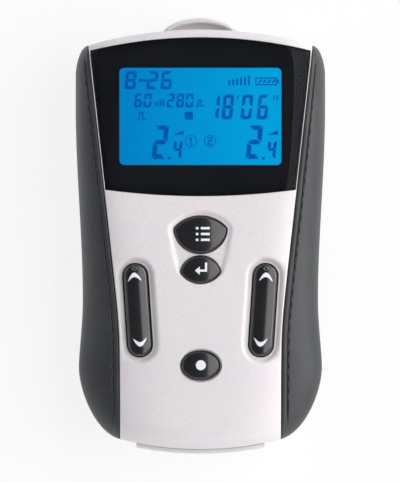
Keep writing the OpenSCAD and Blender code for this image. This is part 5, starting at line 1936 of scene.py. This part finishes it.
@dataclass
class BeltClip:
    """The belt clip: its plate, the raised rim of its tab, the jaw and the two cheeks round the pin."""

    hw: float = 13.0
    plate_z: tuple = (0.5, 2.7)
    tip_y: float = 11.4
    pin_y: float = 43.0
    pin_z: float = 5.4
    tab_hw: float = 10.8
    tab_reach: float = 3.4
    tab_root: float = 2.2
    cheek_x: tuple = (8.5, 10.5)
    rib_count: int = 5
    rib_y: float = 19.5
    rib_pitch: float = 2.3

    def tab_arc(self, inset: float, count: int = 49, low: float = 0.0) -> Array:
        """The tab's arc: half an ellipse about a station tab_root inside the top edge."""
        a = np.linspace(low, math.pi - low, count)
        reach = self.tab_reach + self.tab_root - inset
        return np.stack([(self.tab_hw - inset) * np.cos(a), FORM.top - self.tab_root + reach * np.sin(a)], 1)

    def outline(self) -> Array:
        """The plate's outline: the tab's arc, the shoulders by the pin and the narrowed tip."""
        hw, y0 = self.hw, self.tip_y
        rest = np.array([[-hw, self.pin_y + 4], [-hw, y0 + 5], [5 - hw, y0], [hw - 5, y0], [hw, y0 + 5],
                         [hw, self.pin_y + 4]])
        loop = np.concatenate([self.tab_arc(0.0, 25), rest])
        return resample(chaikin(loop, 3), 0.8)

    def plate(self) -> Surface:
        """The plate with rounded edges and five grip ribs near its tip."""
        out = plate(self.outline(), [], *self.plate_z, 0.55, grid_step=3.0)
        for k in range(self.rib_count):
            rib = rounded_box(15.0 - 1.2 * k, 0.9, 0.44) + (0, self.rib_y + self.rib_pitch * k)
            out.join(plate(rib, [], self.plate_z[0] - 0.32, self.plate_z[0] + 0.2, 0.3, steps=3))
        return out

    def rim(self) -> Surface:
        """The tab's rim: a wall of 1.4 mm along the arc, its top edge rounded, swept from end to end.

        The section is a closed loop of (inset, height) and the path is the arc past the top edge.
        """
        low = math.asin((self.tab_root + 0.55) / (self.tab_reach + self.tab_root))
        a = np.linspace(0, math.pi, 13)
        insets = np.concatenate([[0.0], 0.7 - 0.7 * np.cos(a), [1.4]])
        heights = np.concatenate([[0.6], 5.8 + 0.7 * np.sin(a), [0.6]])
        points = np.stack([np.insert(self.tab_arc(inset, 61, low), 2, z, axis=1)
                           for inset, z in zip(insets, heights)], axis=1)
        out = grid_surface(points, wrap=True)
        section = np.stack([insets, heights], 1)
        flat, tri = fill_region(section)
        order = np.array([np.argmin(np.abs(section - f).sum(1)) for f in flat])
        return out.add(points[0][order], tri[:, ::-1]).add(points[-1][order], tri).welded()

    def nosed(self, y: float, z: float, r: float, foot: float, count: int) -> Array:
        """A section in Y and Z that stands in the plate: a round nose of radius r over a foot."""
        a = np.linspace(0, math.pi, count)
        nose = np.stack([y + r * np.cos(a), z + r * np.sin(a)], 1)
        return np.concatenate([[[y + foot, 2.4]], nose, [[y - foot, 2.4]]])

    def jaw(self) -> Surface:
        """The jaw at the tip: a round-nosed ridge across the plate, with rounded ends."""
        section = self.nosed(self.tip_y + 1.4, 6.9, 1.3, 1.3, 15)
        return across_x(section, 5 - self.hw, self.hw - 5, 0.3)

    def cheeks(self) -> Surface:
        """Two cheeks round the pin, each with its bore."""
        out = Surface()
        section = self.nosed(self.pin_y, self.pin_z, 2.1, 2.6, 17)
        bore = oval(1.06, 1.06, 28) + (self.pin_y, self.pin_z)
        for side in (-1, 1):
            out.join(across_x(section, *sorted(side * x for x in self.cheek_x), 0.2, [bore]))
        return out


def across_x(section: Array, x0: float, x1: float, edge: float, holes: Sequence[Array] = ()) -> Surface:
    """A section in Y and Z extruded along X from x0 to x1, with rounded edges."""
    flat = plate(section, list(holes), x0, x1, edge, steps=3)
    return Surface(flat.points[:, [2, 0, 1]], flat.faces)


# ---------------------------------------------------------------- putting the unit together


# The CAD nodes that keep their own shape, and their finishes.
KEPT_NODES: dict[str, Finish] = {
    "lcd_backlight": LIGHT_GUIDE, "lcd_frame": PALE_PLASTIC, "lcd_connector": ELASTOMER,
    "lcd_glass": DISPLAY_GLASS, "main_board": SOLDER_MASK, "controller_chip": CHIP_EPOXY,
    "capacitors": CAN_SLEEVE, "output_transformers": COIL_TAPE, "buzzer": CHIP_EPOXY,
    "keypad_mat": SILICONE, "p_key_dome": SILICONE,
    "e_key_dome": SILICONE, "dot_key_dome": SILICONE, "left_rocker_domes": SILICONE,
    "right_rocker_domes": SILICONE, "left_rocker_cradle": PALE_PLASTIC,
    "right_rocker_cradle": PALE_PLASTIC, "battery_cells": CELL_SLEEVE, "battery_springs": NICKEL,
    "battery_contacts": NICKEL, "clip_bracket": SHELL_PAINT, "clip_pin": ZINC, "clip_spring": NICKEL,
    "housing_screws": ZINC, "board_screws": ZINC, "bracket_screws": ZINC,
}


class TensUnit:
    """The whole unit: builds every piece, says what it stands for and dresses the CAD nodes that stay."""

    def __init__(self, frame: dict) -> None:
        """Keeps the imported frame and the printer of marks."""
        self.nodes = frame["nodes"]
        self.printer = Printer(CAMERA)

    def build(self) -> None:
        """Builds the unit from the housing outwards."""
        self.housing()
        self.display()
        self.keys()
        self.door_and_clip()
        for node, finish in KEPT_NODES.items():
            mesh = self.nodes[node].data
            mesh.materials.clear()
            mesh.materials.append(finish.material())

    def housing(self) -> None:
        """The two shells' skins, the battery bay and the two grips."""
        panel = make_piece("front_panel", FrontPanel().build(), "housing", "shell", SHELL_PAINT)
        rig.replaces(panel, "front_shell")
        back = RearShell()
        skin = make_piece("rear_skin", back.build(), "housing", "shell", SHELL_PAINT)
        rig.replaces(skin, "rear_shell")
        make_piece("battery_bay", back.bay(), "housing", "shell", SHELL_PAINT)
        sockets = make_piece("socket_collars", OutputSockets().build(), "housing", "socket", SOCKET_PLASTIC)
        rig.replaces(sockets, "output_sockets")
        flank = SideGrip()
        grip, stitches = flank.build(), flank.stitches()
        for name, shape, row in (("left_grip", grip.mirrored(), stitches.mirrored()),
                                 ("right_grip", grip, stitches)):
            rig.replaces(make_piece(name + "_skin", shape, "housing", "grip", GRIP_RUBBER), name)
            make_piece(name + "_stitches", row, "housing", "grip", GRIP_RUBBER)

    def display(self) -> None:
        """The window, its print, and the display with its marks."""
        window = Window()
        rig.replaces(make_piece("window_pane", window.pane(), "housing", "window", WINDOW_ACRYLIC),
                    "display_window")
        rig.replaces(make_piece("window_print", window.print_layer(), "housing", "mask", WINDOW_PRINT),
                    "window_mask")
        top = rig.box("lcd_glass")[1].z / MM
        view = plate(window.view_outline(0.02), [], top, top + 0.06, grid_step=2.0)
        make_piece("display_view", view, "housing", "lcd", DISPLAY_GLASS)
        marks, rings = DisplayMarks().all()
        tree = view.tree()
        shape = self.printer.mark(marks, "display_middle", tree, 0.8)
        for outer, inner in rings:
            shape.join(self.printer.mark([outer], "display_middle", tree, 0.32, [inner]))
        make_piece("display_marks", shape, "housing", "lcd", DISPLAY_MARKS)

    def keys(self) -> None:
        """The three keys and the two rockers, with what is printed on them."""
        pad = Keypad()
        # a short list on the upper key and a return arrow on the middle one, where letters stood
        upper = [bar(x0, y, x1, y, 0.62) for y in (1.55, 0, -1.55)
                 for x0, x1 in ((-1.85, -1.15), (-0.5, 1.85))]
        middle = [bar(-0.6, -0.7, 1.5, -0.7, 0.58), bar(1.22, -0.7, 1.22, 1.45, 0.58),
                  np.array([[-1.75, -0.7], [-0.45, -1.85], [-0.45, 0.45]])]
        lower = [oval(1.33, 1.33, 40)]
        for name, body, cap, point, marks in (
                ("upper_key", "p_key", pad.key(FACE.upper, FACE.upper_y - 1.6, 24.0, 0.6), "upper_key_mark",
                 upper),
                ("middle_key", "e_key", pad.key(FACE.middle, FACE.middle_y + 0.6, 18.0), "middle_key_mark",
                 middle),
                ("lower_key", "dot_key", pad.key(FACE.lower, FACE.lower_y, 17.0), "lower_key_dot", lower)):
            shape = cap.build()
            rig.replaces(make_piece(name + "_cap", shape, body, "key", KEY_GLOSS), body)
            make_piece(name + "_mark", self.printer.mark(marks, point, shape.tree()), body, "key", KEY_PRINT)
        for side, name in ((-1, "left_rocker"), (1, "right_rocker")):
            cap, axis = pad.rocker(side)
            shape = cap.build(axis, spine=8.6)
            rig.replaces(make_piece(name + "_cap", shape, name, "key", KEY_GLOSS), name)
            lean = side * math.radians(FACE.lean)
            marks = [crescent(up * side * 0.68, up * 7.6, 1.85, 2.3, 1.2, up, lean) for up in (1, -1)]
            tree = shape.tree()
            make_piece(name + "_mark", self.printer.mark(marks, name + "_mark", tree), name, "key", KEY_PRINT)
            # a flat grey ring over the upper arrow: a painted highlight, standing in for the gloss on a moulded pip
            # that is not modelled
            pip = [oval(k * 0.72, k * 0.5, 24) + (side * 0.75, 11.0) for k in (1.0, 0.62)]
            shape = self.printer.mark(pip[:1], name + "_mark", tree, 0.2, pip[1:])
            make_piece(name + "_pip", shape, name, "key", PIP_HIGHLIGHT_PAINT)

    def door_and_clip(self) -> None:
        """The battery door and the belt clip."""
        door = make_piece("sliding_door", SlidingDoor().build(), "battery_door", "shell", SHELL_PAINT)
        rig.replaces(door, "battery_door")
        clip = BeltClip()
        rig.replaces(make_piece("clip_plate", clip.plate(), "belt_clip", "shell", SHELL_PAINT), "belt_clip")
        for name, shape in (("clip_tab_rim", clip.rim()), ("clip_jaw", clip.jaw()),
                            ("clip_cheeks", clip.cheeks())):
            make_piece(name, shape, "belt_clip", "shell", SHELL_PAINT)


# ---------------------------------------------------------------- floor and light


@dataclass(frozen=True)
class FloorFinish(Finish):
    """Matt white paper: shows near white to the camera and in reflections, and takes a soft shadow."""

    share: float = 0.85

    def build(self, tree: bpy.types.NodeTree) -> None:
        """Mixes a plain diffuse with an even white for camera, glossy and transmission rays."""
        path = add_node(tree, "ShaderNodeLightPath").outputs
        share = path["Is Camera Ray"]
        for ray in ("Is Glossy Ray", "Is Transmission Ray"):
            share = add_node(tree, "ShaderNodeMath", {"operation": "MAXIMUM"}, in0=share,
                             in1=path[ray]).outputs[0]
        share = add_node(tree, "ShaderNodeMath", {"operation": "MULTIPLY"}, in0=share, in1=self.share)
        diffuse = add_node(tree, "ShaderNodeBsdfDiffuse", Color=linear(self.colour))
        white = add_node(tree, "ShaderNodeEmission", Color=linear("#FFFFFF"), Strength=1.0)
        mix = add_node(tree, "ShaderNodeMixShader", in0=share.outputs[0], in1=diffuse.outputs[0],
                       in2=white.outputs[0])
        add_node(tree, "ShaderNodeOutputMaterial", Surface=mix.outputs[0])


@dataclass(frozen=True)
class Lamp:
    """A rectangular soft lamp, aimed at the unit's middle. Place and size in metres."""

    name: str
    place: tuple
    size: tuple
    watts: float
    colour: tuple = (1.0, 1.0, 1.0)

    def build(self) -> None:
        """Makes the lamp, its long side along the unit."""
        data = bpy.data.lights.new(self.name, "AREA")
        data.shape = "RECTANGLE"
        data.size, data.size_y = self.size
        data.energy, data.color = self.watts, self.colour
        lamp = bpy.data.objects.new(self.name, data)
        back = Vector(self.place).normalized()
        across = Vector((0, 1, 0)).cross(back).normalized()
        turn = Matrix((across, back.cross(across), back)).transposed()
        lamp.matrix_world = Matrix.Translation(self.place) @ turn.to_4x4()
        bpy.context.scene.collection.objects.link(lamp)


@dataclass
class Studio:
    """A pale floor, a sky that is dim overhead and lighter at the horizon, and the soft lamps.

    The large one stands to the right, from a tenth to half way down from overhead: it lights the right
    half of every crowned key and leaves the flat window dark.
    """

    floor_half: float = 3.0
    overhead: float = 0.12
    horizon: float = 1.0
    lamps: tuple = (Lamp("right_lamp", (0.45, 0.06, 0.70), (0.58, 1.1), 4.95, (1.0, 0.98, 0.955)),
                    Lamp("low_lamp", (0.85, 0.12, 0.28), (0.45, 0.9), 5.2),
                    Lamp("left_lamp", (-0.75, 0.15, 0.55), (0.5, 0.8), 0.35, (0.94, 0.95, 1.0)),
                    Lamp("foot_lamp", (0.1, -0.85, 0.45), (0.7, 0.4), 1.0, (0.97, 0.97, 1.0)))

    def build(self) -> None:
        """Makes the floor, the sky and the lamps."""
        h = self.floor_half
        mesh = bpy.data.meshes.new("studio_floor")
        z = -0.0001
        mesh.from_pydata([(-h, -h, z), (h, -h, z), (h, h, z), (-h, h, z)], [], [(0, 1, 2, 3)])
        mesh.materials.append(FloorFinish("matt_paper", "#FAFAFB", "#FAFAFB", 0.9).material())
        floor = bpy.data.objects.new("studio_floor", mesh)
        bpy.context.scene.collection.objects.link(floor)
        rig.stage(floor)
        self.sky()
        for lamp in self.lamps:
            lamp.build()
        bpy.context.scene.view_settings.view_transform = "Standard"

    def sky(self) -> None:
        """The world: strength falls with height as a smooth step of the direction's z."""
        world = bpy.data.worlds.new("studio_sky")
        world.use_nodes = True
        tree = world.node_tree
        tree.nodes.clear()
        coords = add_node(tree, "ShaderNodeTexCoord")
        split = add_node(tree, "ShaderNodeSeparateXYZ", Vector=coords.outputs["Generated"])
        level = add_node(tree, "ShaderNodeMapRange", {"interpolation_type": "SMOOTHSTEP"},
                         Value=split.outputs["Z"], From_Min=0.1, From_Max=0.85, To_Min=self.horizon,
                         To_Max=self.overhead)
        back = add_node(tree, "ShaderNodeBackground", Color=(0.88, 0.90, 1.0, 1.0),
                        Strength=level.outputs[0])
        add_node(tree, "ShaderNodeOutputWorld", Surface=back.outputs[0])
        bpy.context.scene.world = world


# ---------------------------------------------------------------- what shows where


class PointReport:
    """Measures how far each thing shows from its image point, by the finished vertices that show."""

    reach: float = 9.0      # px to each side of an image point, in which an edge is looked for
    tries: int = 4000       # vertices tried from the edge inwards
    picks: int = 1500       # vertices tried for a middle
    clear_layers: int = 5

    def __init__(self) -> None:
        """Takes the scene as finished."""
        self.depsgraph = bpy.context.evaluated_depsgraph_get()
        self.origin = CAMERA.camera.matrix_world.translation

    def shows(self, place: Vector, name: str) -> bool:
        """Whether nothing but clear pieces stands between the camera and a place."""
        direction, start = (place - self.origin).normalized(), self.origin.copy()
        for _ in range(self.clear_layers):
            left = (place - start).length - 3e-5
            if left <= 0:
                return True
            found, at, _, _, thing, _ = bpy.context.scene.ray_cast(self.depsgraph, start, direction,
                                                                   distance=left)
            if not found:
                return True
            if thing.name != "window_pane" or name == "window_pane":
                return False
            start = at + direction * 2e-5
        return True

    def measure(self, names: Sequence[str], side: Side, x: float, y: float) -> Optional[tuple[float, float]]:
        """Where a thing's point stands in the finished scene.

        Args:
            names: the pieces.
            side: what of them.
            x: the image point's pixels from the left.
            y: and from the top.

        Returns:
            its pixels, or None where nothing of it shows.
        """
        rows, pixels = [], []
        for name in names:
            mesh = bpy.data.objects[name].data
            co = np.zeros(len(mesh.vertices) * 3)
            mesh.vertices.foreach_get("co", co)
            co = co.reshape(-1, 3)
            rows.append(co)
            pixels.append(CAMERA.to_pixels(co / MM - (0, SHIFT_Y, 0)))
        co, px = np.concatenate(rows), np.concatenate(pixels)
        if side is not Side.MIDDLE:
            other = 1 if side in (Side.LEFT, Side.RIGHT) else 0
            near = np.abs(px[:, other] - (x, y)[other]) < self.reach
            co, px = co[near], px[near]
            order = np.argsort(px[:, 1 - other])
            order = order[::-1] if side in (Side.RIGHT, Side.BOTTOM) else order
            for k in order[:self.tries].tolist():
                if self.shows(Vector(co[k]), names[0]):
                    return (px[k, 0], y) if other == 1 else (x, px[k, 1])
            return None
        pick = np.linspace(0, len(co) - 1, min(len(co), self.picks)).astype(int)
        seen = [k for k in pick.tolist() if self.shows(Vector(co[k]), names[0])]
        if not seen:
            return None
        low, high = px[seen].min(0), px[seen].max(0)
        return float(low[0] + high[0]) / 2, float(low[1] + high[1]) / 2

    def write(self, path: str) -> None:
        """Writes every point's distance in x and y, and never stops the script."""
        report = {}
        for name, (pieces, side, x, y) in IMAGE_POINTS.items():
            try:
                at = self.measure(pieces, side, x, y)
                report[name] = None if at is None else [round(at[0] - x, 2), round(at[1] - y, 2)]
            except (KeyError, RuntimeError) as error:
                report[name] = str(error)
        with open(path, "w") as out:
            json.dump(report, out, indent=1)
        log.info("image points: %s", report)


def main() -> None:
    """Loads the frame, builds camera, unit and studio, and writes the two reports."""
    logging.basicConfig(level=logging.INFO, format="%(name)s: %(message)s")
    for thing in list(bpy.data.objects):
        bpy.data.objects.remove(thing)
    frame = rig.load()
    cad_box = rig.bounds()
    CAMERA.build()
    TensUnit(frame).build()
    Studio().build()
    bpy.context.view_layer.update()
    PointReport().write("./points.json")
    sizes = {"cad": [list(map(float, corner)) for corner in cad_box],
             "visual": [list(map(float, corner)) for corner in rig.bounds()]}
    with open("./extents.json", "w") as out:
        json.dump(sizes, out)


if __name__ == "__main__":
    main()
